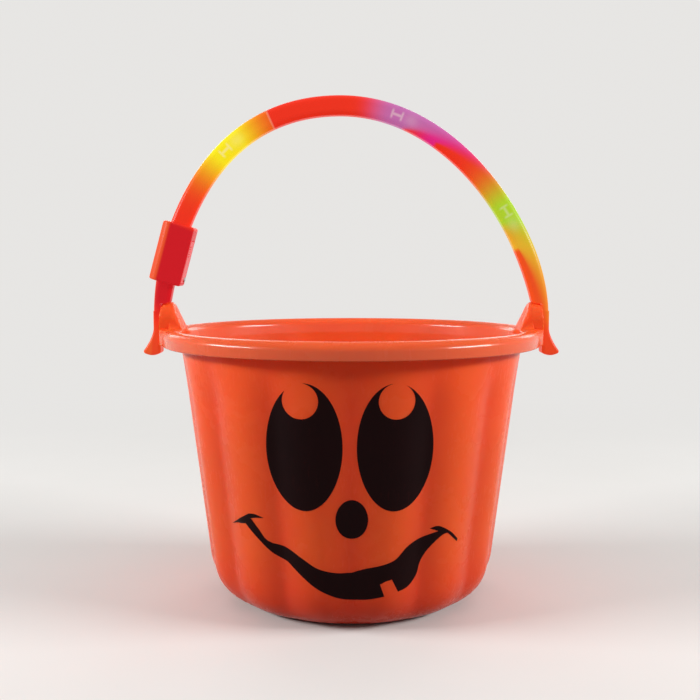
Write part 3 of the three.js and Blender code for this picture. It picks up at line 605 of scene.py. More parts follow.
def carve(piece, tools, operation="DIFFERENCE"):
    """Cuts closed tools from a piece, or joins them to it, and removes the tools."""
    for tool in tools:
        step = piece.modifiers.new("step", "BOOLEAN")
        step.operation, step.object, step.solver = operation, tool, "MANIFOLD"
    keep(piece)
    for tool in tools:
        bpy.data.objects.remove(tool)


def smooth(piece, angle=32):
    """Soft shading, with a crisp line only where faces meet at more than an angle in degrees."""
    piece.data.shade_smooth()
    piece.data.set_sharp_from_angle(angle=math.radians(angle))
    step = piece.modifiers.new("flat faces stay flat", "WEIGHTED_NORMAL")
    step.keep_sharp = True
    keep(piece)


shell = new_piece("bucket_shell_fine", bucket_mesh())
shell_orange = shell_material()
apply_rule(shell, lobes_rule(), Lobe_Count=float(LOBES), Crease_Depth=CREASE_DEPTH,
           Crease_Softness=CREASE_SOFTNESS, Material=shell_orange)
carve(shell, [rod("bore", PIN_RADIUS + FIT, (side * (EAR_FACE - PIN_LENGTH), 0, PIVOT_HEIGHT),
                  (side * (EAR_FACE + BORE_BEYOND), 0, PIVOT_HEIGHT)) for side in (-1, 1)])
smooth(shell)
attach(shell, "bucket")
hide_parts("bucket_shell")


# The face: two eyes, a nose and a crooked grin, pad-printed in near-black ink on the finished wall.
# Each print is a thin film that follows the lobes.
FACE_DROP = 0.0499            # from the skirt to the middle of the eyes
FACE_HEIGHT = SKIRT_HEIGHT - FACE_DROP
INK = 0.00012
EYE_SPREAD = 0.0511
EYE_MIDDLE = -0.00095
EYE_SIZE = (0.0432, 0.0732)
GLINT_RADIUS = 0.0102
GLINT_RISE = 0.0265
GLINT_SHIFT = {"left": -0.0019, "right": 0.0005}
GLINT_STEPS, NOSE_STEPS = 72, 72
NOSE_SIZE = (0.0182, 0.0228)
NOSE_PLACE = (0.0002, -0.0414)
PRINT_STEP = 0.0021           # size of the film's own mesh
PRINT_ROWS = 0.87             # distance of its rows, as a share of that
# The grin's outline in smooth runs between its corners, in millimetres from the middle of the eyes
MOUTH = (
    ((-58.2, -44.9), (-53.5, -50.8), (-49.4, -56.3), (-45.3, -58.5)),
    ((-45.3, -58.5), (-36.7, -60.3), (-27.3, -65.7), (-19.2, -70.5), (-9, -73), (0.2, -73.2)),
    ((0.2, -73.2), (8, -70.5), (18.1, -68.2), (25.2, -65.3), (31.3, -59.1), (38, -55.2), (50.1, -51.6)),
    ((50.1, -51.6), (45, -49.6)),
    ((45, -49.6), (50.4, -48.6), (57.5, -52.9), (61.9, -58.2)),
    ((61.9, -58.2), (61.6, -59.9)),
    ((61.6, -59.9), (56.9, -54.6), (55, -53.4), (51.3, -55.1), (44.1, -61.8), (39.6, -68.7),
     (37.2, -76.8), (32.5, -82.8), (26.6, -85.1)),
    ((26.6, -85.1), (23, -77.2)),
    ((23, -77.2), (16.2, -79.8)),
    ((16.2, -79.8), (18.7, -87.3)),
    ((18.7, -87.3), (7, -89.3), (-5.3, -88.9), (-18.3, -83.5), (-27.4, -76.7), (-36.4, -68.6)),
    ((-36.4, -68.6), (-45.8, -64), (-54.7, -55.8), (-61.5, -48.7)),
    ((-61.5, -48.7), (-70.4, -51.7)),
    ((-70.4, -51.7), (-64.8, -46.2), (-59.3, -42.2)),
    ((-59.3, -42.2), (-55.6, -42.1), (-50.3, -43.8)),
    ((-50.3, -43.8), (-58.2, -44.9)),
)


def through(points, steps):
    """A smooth run through points, without its last one."""
    points = [np.array(point, float) for point in points]
    padded = [points[0], *points, points[-1]]
    run = []
    for a, b, c, d in zip(padded, padded[1:], padded[2:], padded[3:]):
        for t in np.arange(steps) / steps:
            run.append(b + ((c - a) * t + (2 * a - 5 * b + 4 * c - d) * t * t
                            + (3 * b - a - 3 * c + d) * t ** 3) / 2)
    return run


def ellipse(middle, size, steps=120):
    return [(middle[0] + size[0] / 2 * math.cos(a), middle[1] + size[1] / 2 * math.sin(a))
            for a in np.arange(steps) * 2 * math.pi / steps]


def crease_at(angle):
    """Share of the crease at an angle from the front, as the lobes rule has it."""
    full = math.hypot(1, CREASE_SOFTNESS)
    wave = math.hypot(math.sin(LOBES / 2 * angle), CREASE_SOFTNESS)
    return (1 - wave / full) / (1 - CREASE_SOFTNESS / full)


def on_wall(x, z, offset):
    """The point of the wall's front that is seen at x, z, lifted by an offset."""
    radius, share = wall_at(z, offset)
    angle = math.asin(x / radius)
    for _ in range(6):
        reach = radius - CREASE_DEPTH * share * crease_at(angle)
        angle = math.asin(x / reach)
    return x, -reach * math.cos(angle), z


def film(name, outline, hole=None):
    """A thin closed film on the wall inside an outline and outside a hole, both flat."""
    turning = sum(a[0] * b[1] - b[0] * a[1] for a, b in zip(outline, outline[1:] + outline[:1]))
    rings = [outline if turning > 0 else outline[::-1]] + ([hole] if hole else [])
    flat = [Vector(point) for ring in rings for point in ring]
    starts = np.cumsum([0] + [len(ring) for ring in rings])
    loops = [list(range(a, b)) for a, b in zip(starts, starts[1:])]
    low, high = np.min(outline, axis=0), np.max(outline, axis=0)
    for i, z in enumerate(np.arange(low[1], high[1], PRINT_STEP * PRINT_ROWS)):
        for x in np.arange(low[0] + i % 2 * PRINT_STEP / 2, high[0], PRINT_STEP):
            flat.append(Vector((x, z)))
    made = delaunay_2d_cdt(flat, [], loops, 0, HAIR)
    flat, faces, owners = made[0], made[2], made[5]
    inked = [face for face, owner in zip(faces, owners) if 0 in owner and 1 not in owner]
    used = sorted({corner for face in inked for corner in face})
    number = {corner: i for i, corner in enumerate(used)}
    inked = [[number[corner] for corner in face] for face in inked]
    edges = {(a, b) for face in inked for a, b in zip(face, face[1:] + face[:1])}
    count = len(used)
    points = [on_wall(flat[c].x, FACE_HEIGHT + flat[c].y, offset) for offset in (INK, 0) for c in used]
    back = [[corner + count for corner in reversed(face)] for face in inked]
    sides = [(b, a, a + count, b + count) for a, b in edges if (b, a) not in edges]
    piece = new_piece(name, as_mesh(name, points, inked + back + sides))
    smooth(piece, angle=50)
    return piece


def ink_material():
    """Near-black ink with a satin surface, thinner in tiny pinholes."""
    material, tree, shader = finish("face ink", {"Specular IOR Level": 0.06})
    skin = skin_in(tree, 0.0005, 0.02, 0.4)
    colour = mixed(tree, skin["Tone"], "100001", "180203")
    feed(tree, shader, {
        "Base Color": tinted(tree, colour, skin["Scuff"], 0.3, "4a1414"),
        "Roughness": lifted(tree, 0.30, skin["Tone"], 0.2),
        "Normal": bump(tree, skin["Height"], 0.15, 0.0002)})
    return material


def dress(piece, material):
    """Gives a piece one material all over."""
    piece.data.materials.clear()
    piece.data.materials.append(material)


ink = ink_material()
prints = {}
for word, side in (("left", -1), ("right", 1)):
    middle = EYE_MIDDLE + side * EYE_SPREAD / 2
    glint = (middle + GLINT_SHIFT[word], GLINT_RISE)
    glint = ellipse(glint, (2 * GLINT_RADIUS, 2 * GLINT_RADIUS), GLINT_STEPS)
    prints[f"face_{word}_eye"] = film(f"{word}_eye_print", ellipse((middle, 0), EYE_SIZE), glint)
prints["face_nose"] = film("nose_print", ellipse(NOSE_PLACE, NOSE_SIZE, NOSE_STEPS))
grin = [tuple(point * MM) for run in MOUTH for point in through(run, 8 if len(run) > 2 else 1)]
prints["face_mouth"] = film("mouth_print", grin)
for node, piece in prints.items():
    dress(piece, ink)
    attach(piece, "bucket")
    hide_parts(node)


# The handle: a hollow tube in clear red plastic, in a front and a back half that meet at a seam. Each
# half has its side of the battery box, of the two feet and of the pivot pins in one moulding, and
# four screws close them from the back. Three lamps in the tube light it from inside.
SEAM = 0.0002
SEAM_EDGE = 0.00022           # small chamfer along the seam
SWING_CLEARANCE = 0.0009
TUBE_WIDTH = 0.0124
TUBE_DEPTH = 0.013
TUBE_CORNER = 0.0038
TUBE_WALL = 0.0016
ARM_WIDTH = 0.0086
STRAP = 0.0045                # thickness outside the ear
ARM_GROWTH = 0.048
ARCH_RISE = 0.1352
ARCH_LEAN = -0.007
ARM_LEAN = math.radians(4)
PULLS = {"left_arm": 0.050, "left_top": 0.086, "right_top": 0.074, "right_arm": 0.055}
FOOT_DROP = 0.0225
FOOT_FLARE = 0.0064
FOOT_WIDTH = 0.0144
FOOT_FLARE_LENGTH = 0.017
FOOT_FLARE_END = 0.003
FOOT_CURVE = 1.6
FOOT_ROUND = 0.0024
FOOT_ROUND_IN = 0.0036
FOOT_ROUND_CURVE = 2.4
FOOT_EDGE = 0.002
FOOT_STEPS = 20               # rings along the flare; those in its rounding stand at these shares of it
FOOT_ROUND_STEPS = (0.8, 0.62, 0.46, 0.32, 0.2, 0.1, 0.03, 0)
FOOT_SCREW_RISE = 0.008
SOLID_ARM = 0.026
TUBE_SUNK = 0.003
RIB = 0.0012
BEZIER_STEPS = 1500           # on each side of the arch, for its own length
WIRE_GAP = 0.0023             # the ribs stay this far from the middle, where the wires pass
ARCH_STEPS = 168
# Where the ribs stand along the arch, as shares of it
YELLOW_AT, BARRIER_AT, PURPLE_AT, GREEN_AT = 0.295, 0.379, 0.585, 0.805

CREST_CUT = 0.00006           # what the solid's steps take off the crest
APEX = PIVOT_HEIGHT + ARCH_RISE - CREST_CUT
STRAP_INSIDE = EAR_FACE + FIT
ARM_REACH = STRAP_INSIDE + STRAP - ARM_WIDTH / 2
LEAN = np.array([math.sin(ARM_LEAN), math.cos(ARM_LEAN)])


def bezier(*points):
    a, b, c, d = (np.array(point, float) for point in points)
    t = np.linspace(0, 1, BEZIER_STEPS)[:, None]
    return (1 - t) ** 3 * a + 3 * (1 - t) ** 2 * t * b + 3 * (1 - t) * t ** 2 * c + t ** 3 * d


def arch_points():
    """The middle of the tube from the left pivot over the top to the right pivot, as x and z."""
    left, right = np.array([-ARM_REACH, PIVOT_HEIGHT]), np.array([ARM_REACH, PIVOT_HEIGHT])
    top = np.array([ARCH_LEAN, APEX])
    rise = bezier(left, left + PULLS["left_arm"] * LEAN, top - (PULLS["left_top"], 0), top)
    fall = bezier(top, top + (PULLS["right_top"], 0), right + PULLS["right_arm"] * LEAN * (-1, 1), right)
    return np.vstack([rise, fall[1:]])


ARCH = arch_points()
ARCH_AT = np.concatenate([[0], np.cumsum(np.hypot(*np.diff(ARCH, axis=0).T))])
ARCH_LENGTH = ARCH_AT[-1]
ARCH_WAY = np.gradient(ARCH, ARCH_AT, axis=0)


def station(share):
    """A place on the arch: its point, the way along it and the way out of it."""
    x, z, along_x, along_z = (np.interp(share * ARCH_LENGTH, ARCH_AT, values)
                              for values in (*ARCH.T, *ARCH_WAY.T))
    point, along = np.array([x, 0, z]), np.array([along_x, 0, along_z])
    along /= np.linalg.norm(along)
    return point, along, np.array([-along[2], 0, along[0]])


def tube_width(share):
    left = 1 - min(1, min(share, 1 - share) * ARCH_LENGTH / ARM_GROWTH)
    return TUBE_WIDTH - (TUBE_WIDTH - ARM_WIDTH) * left * left


def rounded(width, depth, corner, steps=8):
    """A rectangle with round corners, as points across and in depth."""
    points = []
    for turn, sx, sy in ((0, 1, 1), (90, -1, 1), (180, -1, -1), (270, 1, -1)):
        for angle in np.radians(turn + np.linspace(0, 90, steps)):
            points.append((sx * (width / 2 - corner) + corner * math.cos(angle),
                           sy * (depth / 2 - corner) + corner * math.sin(angle)))
    return points


def half_of(section, side):
    """One side of a section that is the same on both sides of the seam, with the seam's edges broken."""
    kept = [(x, y) for x, y in section if y > SEAM]
    (first, _), (last, _) = max(kept), min(kept)
    gap = SEAM / 2
    ends = [(first - SEAM_EDGE, gap), (first, gap + SEAM_EDGE)]
    tail = [(last, gap + SEAM_EDGE), (last + SEAM_EDGE, gap)]
    return [(x, side * y) for x, y in ends + kept + tail]


def skinned(name, rings):
    """A closed body through rings of points, with flat ends."""
    count = len(rings[0])
    points = [point for ring in rings for point in ring]
    ends = [tuple(range(count)), tuple(range(len(points) - count, len(points)))]
    return new_piece(name, as_mesh(name, points, ends + band_faces(len(rings), count)))


def tube(start, end, section_of, overrun=0):
    """The tube between two shares of the arch, with a section for each share."""
    steps = max(1, round(ARCH_STEPS * (end - start)))
    rings = []
    for i in range(steps + 1):
        share = start + (end - start) * i / steps
        point, along, out = station(share)
        point = point + along * overrun * ((i == steps) - (i == 0))
        rings.append([point + out * across + (0, deep, 0) for across, deep in section_of(share)])
    return skinned("tube", rings)


def outer_section(side):
    return lambda share: half_of(rounded(tube_width(share), TUBE_DEPTH, TUBE_CORNER), side)


def inner_section(share):
    width, depth = tube_width(share) - 2 * TUBE_WALL, TUBE_DEPTH - 2 * TUBE_WALL
    return rounded(width, depth, TUBE_CORNER - TUBE_WALL, steps=4)


def foot(end_side, side):
    """The foot of one arm outside its ear, which flares out towards its end."""
    end = PIVOT_HEIGHT - FOOT_DROP
    flare = np.linspace(1, FOOT_ROUND / FOOT_FLARE_LENGTH, FOOT_STEPS)
    heights = np.concatenate([[PIVOT_HEIGHT + EAR_RADIUS / 2, PIVOT_HEIGHT],
                              end + FOOT_FLARE_LENGTH * flare,
                              end + FOOT_ROUND * np.array(FOOT_ROUND_STEPS)])
    rings = []
    for height in heights:
        share = (end + FOOT_FLARE_LENGTH - height) / (FOOT_FLARE_LENGTH - FOOT_FLARE_END)
        share = min(1, max(0, share))
        left = max(0, 1 - (height - end) / FOOT_ROUND)
        closing = FOOT_ROUND_IN * left ** FOOT_ROUND_CURVE
        full = STRAP + FOOT_FLARE * share ** FOOT_CURVE
        thick = full - 2 * closing
        deep = TUBE_DEPTH + (FOOT_WIDTH - TUBE_DEPTH) * share - closing
        section = half_of(rounded(thick, deep, min(FOOT_EDGE, thick / 2.2), steps=6), side)
        rings.append([(end_side * (STRAP_INSIDE + full / 2 + x), y, height) for x, y in section])
    return skinned("foot", rings)


# The battery box stands round the tube above the left arm: its own frame has x towards the bucket's
# middle, y to the back and z up along the box. Its outer edges have a broad chamfer.
BOX_WIDTH = 0.0208
BOX_RISE = 0.0424
BOX_REACH = 0.1138
BOX_CHAMFER = 0.0035
BOX_EDGE = 0.0014
BOX_TILT = math.radians(15.2)
CELL_RADIUS, CELL_HEIGHT, CELL_COUNT = 0.0058, 0.0054, 3
BOARD, BOARD_TO_CELLS = 0.001, 0.0016
CONTACT, SPRING_HEIGHT = 0.0004, 0.0032
LEDGE_DEPTH, LEDGE_HEIGHT, POST_LENGTH = 0.0018, 0.0026, 0.0054
SWITCH_SIZE, SWITCH_GAP, WIRE_ROOM = 0.006, 0.0006, 0.0011
BUTTON_RADIUS = 0.0025
SUNK = 0.0005

BOX_MIDDLE = (-BOX_REACH, 0, PIVOT_HEIGHT + BOX_RISE)
BOX_PLACE = Matrix.Translation(BOX_MIDDLE) @ Matrix.Rotation(BOX_TILT, 4, "Y")
BOX_SHARE = BOX_RISE / math.cos(BOX_TILT) / ARCH_LENGTH
INNER_WIDTH = BOX_WIDTH - 2 * TUBE_WALL
INNER_DEPTH = FIT + BOARD + BOARD_TO_CELLS + 2 * CELL_RADIUS + FIT
BOX_DEPTH = INNER_DEPTH + 2 * TUBE_WALL
STACK = CONTACT + SPRING_HEIGHT + CELL_COUNT * (CELL_HEIGHT + FIT) + 2 * FIT + CONTACT
INNER_LENGTH = POST_LENGTH + FIT + STACK + SWITCH_GAP + SWITCH_SIZE + WIRE_ROOM
BOX_LENGTH = INNER_LENGTH + 2 * TUBE_WALL
BOX_FLOOR = -INNER_LENGTH / 2
POST_TOP = BOX_FLOOR + POST_LENGTH
STACK_TOP = POST_TOP + FIT + STACK
SWITCH_MIDDLE = STACK_TOP + SWITCH_GAP + SWITCH_SIZE / 2
CELL_MIDDLE = INNER_DEPTH / 2 - FIT - CELL_RADIUS
DOOR_TOP = STACK_TOP + SWITCH_GAP
DOOR_HALF = INNER_DEPTH / 2 - FIT
DOOR_SCREW = (INNER_DEPTH / 4, BOX_FLOOR + POST_LENGTH / 2)


def in_box(piece):
    """Puts a piece that was made in the box's own frame in its place."""
    piece.data.transform(BOX_PLACE)
    return piece


def brick(x, y, z):
    """A block between two values on each axis, as a cutter or a rib."""
    points = [(a, b, c) for a in x for b in y for c in z]
    faces = [(0, 1, 3, 2), (4, 5, 7, 6), (0, 1, 5, 4), (2, 3, 7, 6), (0, 2, 6, 4), (1, 3, 7, 5)]
    return new_piece("block", as_mesh("block", points, faces))


def eased(corners, radius, steps=3):
    """An outline with each corner rounded a little."""
    points = []
    for before, corner, after in zip(corners[-1:] + corners[:-1], corners, corners[1:] + corners[:1]):
        b, c, a = (Vector(point) for point in (before, corner, after))
        start, end = c + (b - c).normalized() * radius, c + (a - c).normalized() * radius
        for t in np.linspace(0, 1, steps + 1):
            points.append(tuple((1 - t) ** 2 * start + 2 * t * (1 - t) * c + t * t * end))
    return points


def box_outline(inset, edge):
    """Outline of the box in depth, drawn in by an inset."""
    x, y = BOX_WIDTH / 2 - inset, BOX_DEPTH / 2 - inset
    cut = BOX_CHAMFER - inset * (2 - math.sqrt(2))
    corners = [(x, y), (cut - x, y), (-x, y - cut), (-x, cut - y), (cut - x, -y), (x, -y)]
    return eased(corners, edge) if edge else corners


def box_half(side):
    """One half of the battery box, solid, with rounded ends."""
    rings = []
    ends = [(left, BOX_EDGE * (1 - math.cos(math.asin(min(1, left / BOX_EDGE)))))
            for left in BOX_EDGE * np.sin(np.radians([90, 65, 40, 20, 0]))]
    levels = [(-BOX_LENGTH / 2 + BOX_EDGE - left, inset) for left, inset in ends]
    levels += [(-level, inset) for level, inset in reversed(levels)]
    for level, inset in levels:
        section = half_of(box_outline(inset, BOX_EDGE), side)
        rings.append([(x, y, level) for x, y in section])
    return in_box(skinned("box", rings))


def handle_screw_places():
    """Middle of each screw's head on the back of the handle."""
    share = (EAR_RADIUS + SWING_CLEARANCE + SOLID_ARM) / 2 / ARCH_LENGTH
    places = []
    for at in (share, 1 - share):
        point = station(at)[0]
        places.append((point[0], TUBE_DEPTH / 2, point[2]))
    middle = STRAP_INSIDE + (STRAP + FOOT_FLARE / 2) / 2
    for side in (-1, 1):
        places.append((side * middle, FOOT_WIDTH / 2, PIVOT_HEIGHT - FOOT_DROP + FOOT_SCREW_RISE))
    return places


SCREW_HEAD, SCREW_HEAD_HEIGHT, SCREW_SHANK, SCREW_LENGTH = 0.0017, 0.0012, 0.0009, 0.0095
DOOR_SCREW_LENGTH, DOOR_SCREW_PROUD = 0.0065, 0.0005
DOOR_SCREW_PLACE = (BOX_WIDTH / 2 + DOOR_SCREW_PROUD, *DOOR_SCREW)
CUT_BEYOND = 0.0012
BACK, INWARDS = (0, 1, 0), (1, 0, 0)   # ways that the screws' heads face, the second in the box's frame


def screw_hole(place, way, length):
    """Cutters for one screw: the pocket of its head and the hole of its shank."""
    place, way = Vector(place), Vector(way)
    return [
        rod(name, radius + FIT, place + way * CUT_BEYOND, place - way * (deep + FIT), sides)
        for name, radius, deep, sides in (("pocket", SCREW_HEAD, SCREW_HEAD_HEIGHT, 32),
                                          ("hole", SCREW_SHANK, length, 24))
    ]


def rib(share):
    """A thin wall across the tube that carries a lamp, open on the side where the wires pass."""
    low, high = -WIRE_GAP, tube_width(share) / 2 - TUBE_WALL / 2
    deep = (TUBE_DEPTH - TUBE_WALL) / 2
    section = [(low, -deep), (high, -deep), (high, deep), (low, deep)]
    half = RIB / 2 / ARCH_LENGTH
    return tube(share - half, share + half, lambda _: section)


def handle_half(name, side):
    """One half of the handle, from its outside to its ribs, pins and holes."""
    half = tube(0, 1, outer_section(side), TUBE_SUNK)
    half.name = name
    carve(half, [box_half(side), foot(-1, side), foot(1, side)], "UNION")
    hollow = tube(BOX_SHARE, 1 - SOLID_ARM / ARCH_LENGTH, inner_section)
    length = INNER_LENGTH / 2
    inside = in_box(skinned("inside", [[(x, y, z) for x, y in box_outline(TUBE_WALL, 0)]
                                       for z in (-length, length)]))
    carve(half, [inside, hollow])
    wall = INNER_WIDTH / 2
    ledge_foot = DOOR_TOP - 2 * FIT
    ledge = brick((wall - LEDGE_DEPTH, wall - FIT), (-INNER_DEPTH / 2 - SUNK, INNER_DEPTH / 2 + SUNK),
                  (ledge_foot, ledge_foot + LEDGE_HEIGHT))
    post = brick((-wall - SUNK, wall - FIT), (FIT, INNER_DEPTH / 2 + SUNK), (BOX_FLOOR - SUNK, POST_TOP))
    ribs = [rib(share) for share in (YELLOW_AT, BARRIER_AT, PURPLE_AT, GREEN_AT)]
    far = 4 * RIM_RADIUS
    keep_to = ((-far, far), sorted((side * SEAM / 2, side * far)), (-far, far))
    for part in [in_box(ledge), in_box(post)] + ribs:
        carve(part, [brick(*keep_to)], "INTERSECT")
        if not part.data.polygons:
            bpy.data.objects.remove(part)
        else:
            carve(half, [part], "UNION")
    doorway = brick((wall - FIT, BOX_WIDTH), (-DOOR_HALF - FIT, DOOR_HALF + FIT),
                    (BOX_FLOOR + FIT, DOOR_TOP + FIT))
    ear = rod("ear", EAR_RADIUS + SWING_CLEARANCE, (-STRAP_INSIDE, 0, PIVOT_HEIGHT),
              (STRAP_INSIDE, 0, PIVOT_HEIGHT), sides=96)
    below = brick((-STRAP_INSIDE, STRAP_INSIDE), (-BOX_DEPTH, BOX_DEPTH),
                  (PIVOT_HEIGHT - 2 * FOOT_DROP, PIVOT_HEIGHT))
    carve(half, [in_box(doorway), ear, below])
    for end in (-1, 1):
        pin = rod("pin", PIN_RADIUS, (end * (STRAP_INSIDE - PIN_LENGTH), 0, PIVOT_HEIGHT),
                  (end * (STRAP_INSIDE + TUBE_WALL), 0, PIVOT_HEIGHT))
        carve(pin, [brick(*keep_to)], "INTERSECT")
        carve(half, [pin], "UNION")
    holes = [tool for place in handle_screw_places() for tool in screw_hole(place, BACK, SCREW_LENGTH)]
    button_hole = rod("button hole", BUTTON_RADIUS + FIT, (0, INNER_DEPTH / 2 - CUT_BEYOND, SWITCH_MIDDLE),
                      (0, BOX_DEPTH, SWITCH_MIDDLE))
    door_hole = screw_hole(DOOR_SCREW_PLACE, INWARDS, DOOR_SCREW_LENGTH)
    carve(half, holes + [in_box(tool) for tool in [button_hole] + door_hole])
    mark_arch(half)
    smooth(half)
    return half


MARK_STEP = 4                 # every so many points of the arch are enough to find the nearest


def mark_arch(piece):
    """Stores on each point its share of the way along the arch, and how far out it lies from the tube's
    middle, in half widths."""
    points = np.array([vertex.co[:] for vertex in piece.data.vertices])[:, (0, 2)]
    shares, across = [], []
    for point in points:
        nearest = MARK_STEP * int(np.argmin(np.sum((ARCH[::MARK_STEP] - point) ** 2, axis=1)))
        way, away = ARCH_WAY[nearest], point - ARCH[nearest]
        shares.append((ARCH_AT[nearest] + away @ way) / ARCH_LENGTH)
        half_width = tube_width(min(1, max(0, shares[-1]))) / 2
        across.append((away @ (-way[1], way[0])) / half_width)
    for name, values in (("share", shares), ("across", across)):
        piece.data.attributes.new(name, "FLOAT", "POINT").data.foreach_set("value", values)


LEAST_REACH = 0.004           # of a lamp's light, as a share of the arch
# Painted light: what shows of a lamp in the tube, drawn pale on its wall. Along it, in millimetres: the
# rib, the middle of the legs from the rib, their half length, and the cloud from there. Across it, in its
# half widths: the half width and the soft edge of the bars at the legs' ends and of the link between them,
# and the cloud's.
RIB_HALF, RIB_SOFT = 0.6, 0.3
LEGS_MIDDLE, LEGS_HALF, BAR_HALF, LEGS_SOFT = 4.4, 3.2, 0.6, 0.5
BAR_ACROSS, LINK_ACROSS = (0.44, 0.14), (0.12, 0.09)
CLOUD_BEYOND, CLOUD_HALF, CLOUD_ACROSS = 9.5, 4.5, 0.6


def build_lamp_glow():
    """Light of one lamp in the tube: how it fades along the arch from its place, with its own reach and
    softness to each side, and further on the outer side of the tube than on the inner one."""
    tree, given, result = new_rule("lamp glow", {
        "Share": 0.0, "Across": 0.0, "Place": 0.5, "Reach Before": 0.05, "Reach After": 0.05,
        "Outer Reach": 0.0, "Fall": 2.0, "Gain": 1.0}, ("Glow",))
    past = maths(tree, "SUBTRACT", given["Share"], given["Place"])
    outer = times(tree, given["Across"], given["Outer Reach"])
    after = maths(tree, "MAXIMUM", maths(tree, "ADD", given["Reach After"], outer), LEAST_REACH)
    is_after = maths(tree, "GREATER_THAN", past, 0)
    reach = (is_after, None, given["Reach Before"], after)
    reach = put(tree, "ShaderNodeMix", reach, data_type="FLOAT").outputs[0]
    fade = maths(tree, "ABSOLUTE", maths(tree, "DIVIDE", past, reach))
    fade = maths(tree, "POWER", fade, given["Fall"])
    glow = times(tree, maths(tree, "EXPONENT", times(tree, fade, -1)), given["Gain"])
    tree.links.new(maths(tree, "MINIMUM", glow, 1), result["Glow"])
    return tree


def build_painted_lamp_light():
    """Painted light that shows through the wall of the tube: its rib as a pale line, the lamp's legs as
    two pale bars and a link, and the lamp's glow as a pale cloud beyond them."""
    tree, given, result = new_rule("painted lamp light behind the wall", {
        "Share": 0.0, "Across": 0.0, "Place": 0.5, "Legs": 0.0}, ("Rib", "Legs", "Cloud"))
    across = given["Across"]
    past = maths(tree, "SUBTRACT", given["Share"], given["Place"])
    past = times(tree, past, ARCH_LENGTH / MM)

    def band(value, middle, half, soft):
        off = maths(tree, "ABSOLUTE", maths(tree, "SUBTRACT", value, middle))
        return ramp(tree, off, half + soft, half - soft)

    def oval(value, half):
        return maths(tree, "POWER", maths(tree, "DIVIDE", value, half), 2)

    legs = maths(tree, "SUBTRACT", past, maths(tree, "ADD", given["Legs"], LEGS_MIDDLE))
    bars = band(maths(tree, "ABSOLUTE", legs), LEGS_HALF, BAR_HALF, LEGS_SOFT)
    bars = times(tree, bars, band(across, 0.0, *BAR_ACROSS))
    link = times(tree, band(legs, 0.0, LEGS_HALF, LEGS_SOFT), band(across, 0.0, *LINK_ACROSS))
    cloud = oval(maths(tree, "SUBTRACT", legs, CLOUD_BEYOND), CLOUD_HALF)
    cloud = maths(tree, "ADD", cloud, oval(across, CLOUD_ACROSS))
    tree.links.new(band(past, 0.0, RIB_HALF, RIB_SOFT), result["Rib"])
    tree.links.new(maths(tree, "MAXIMUM", bars, link), result["Legs"])
    tree.links.new(maths(tree, "EXPONENT", times(tree, cloud, -1)), result["Cloud"])
    return tree


LAMP_GLOW = build_lamp_glow()
PAINTED_LAMP_LIGHT = build_painted_lamp_light()
# colour, place, reach before and after it in shares of the arch, how much further it reaches on the
# outer side, how steeply it falls, and its strength
GLOWS = (
    ("ffef22", 0.300, 0.050, 0.050, 0.000, 1.9, 1.25),
    ("e82a88", 0.655, 0.030, 0.034, 0.050, 2.0, 1.10),
    ("c46fb0", 0.592, 0.049, 0.060, 0.050, 3.4, 1.00),
    ("e8b830", 0.875, 0.055, 0.047, 0.066, 1.6, 0.95),
    ("b0da30", 0.820, 0.046, 0.036, 0.016, 2.0, 1.15),
)
# where each lamp's painted legs show along the tube from its rib, in millimetres, and how plainly
LEGS = ((YELLOW_AT, -5.0, 0.30), (PURPLE_AT, -5.0, 0.34), (GREEN_AT, 0.0, 0.24))
# Where painted light and shade change the plastic's colour, as shares of the arch: along the tube, at the
# battery box, which painted shade darkens, and at the feet, which painted light makes oranger. The arm's
# outer edge has a painted highlight, here in half widths from its middle.
TUBE_LIGHT_CHANGE = (0.70, 0.80)
BOX_SHADE_START, BOX_SHADE_STOP = (-0.005, 0.035), (0.160, 0.150)
LEFT_FOOT_LIGHT, RIGHT_FOOT_LIGHT = (0.005, -0.02), (0.995, 1.025)
EDGE_HIGHLIGHT_ACROSS, EDGE_HIGHLIGHT_FADE = (0.72, 1.05), (0.30, 0.14)
BARRIER_EDGE = (BARRIER_AT + 0.001, BARRIER_AT - 0.001)
# The clear red plastic glows all over: a painted glow that stands in for the light of the lamps inside.
GLOWING_CLEAR_RED = {"Specular IOR Level": 0.08, "Emission Strength": 0.68}
BLACK = (0, 0, 0, 1)


def lit(tree, colour, dimming):
    """What has light behind it glows in a colour, and sends back a darker one."""
    return {"Base Color": mixed(tree, dimming, colour, BLACK), "Emission Color": colour}


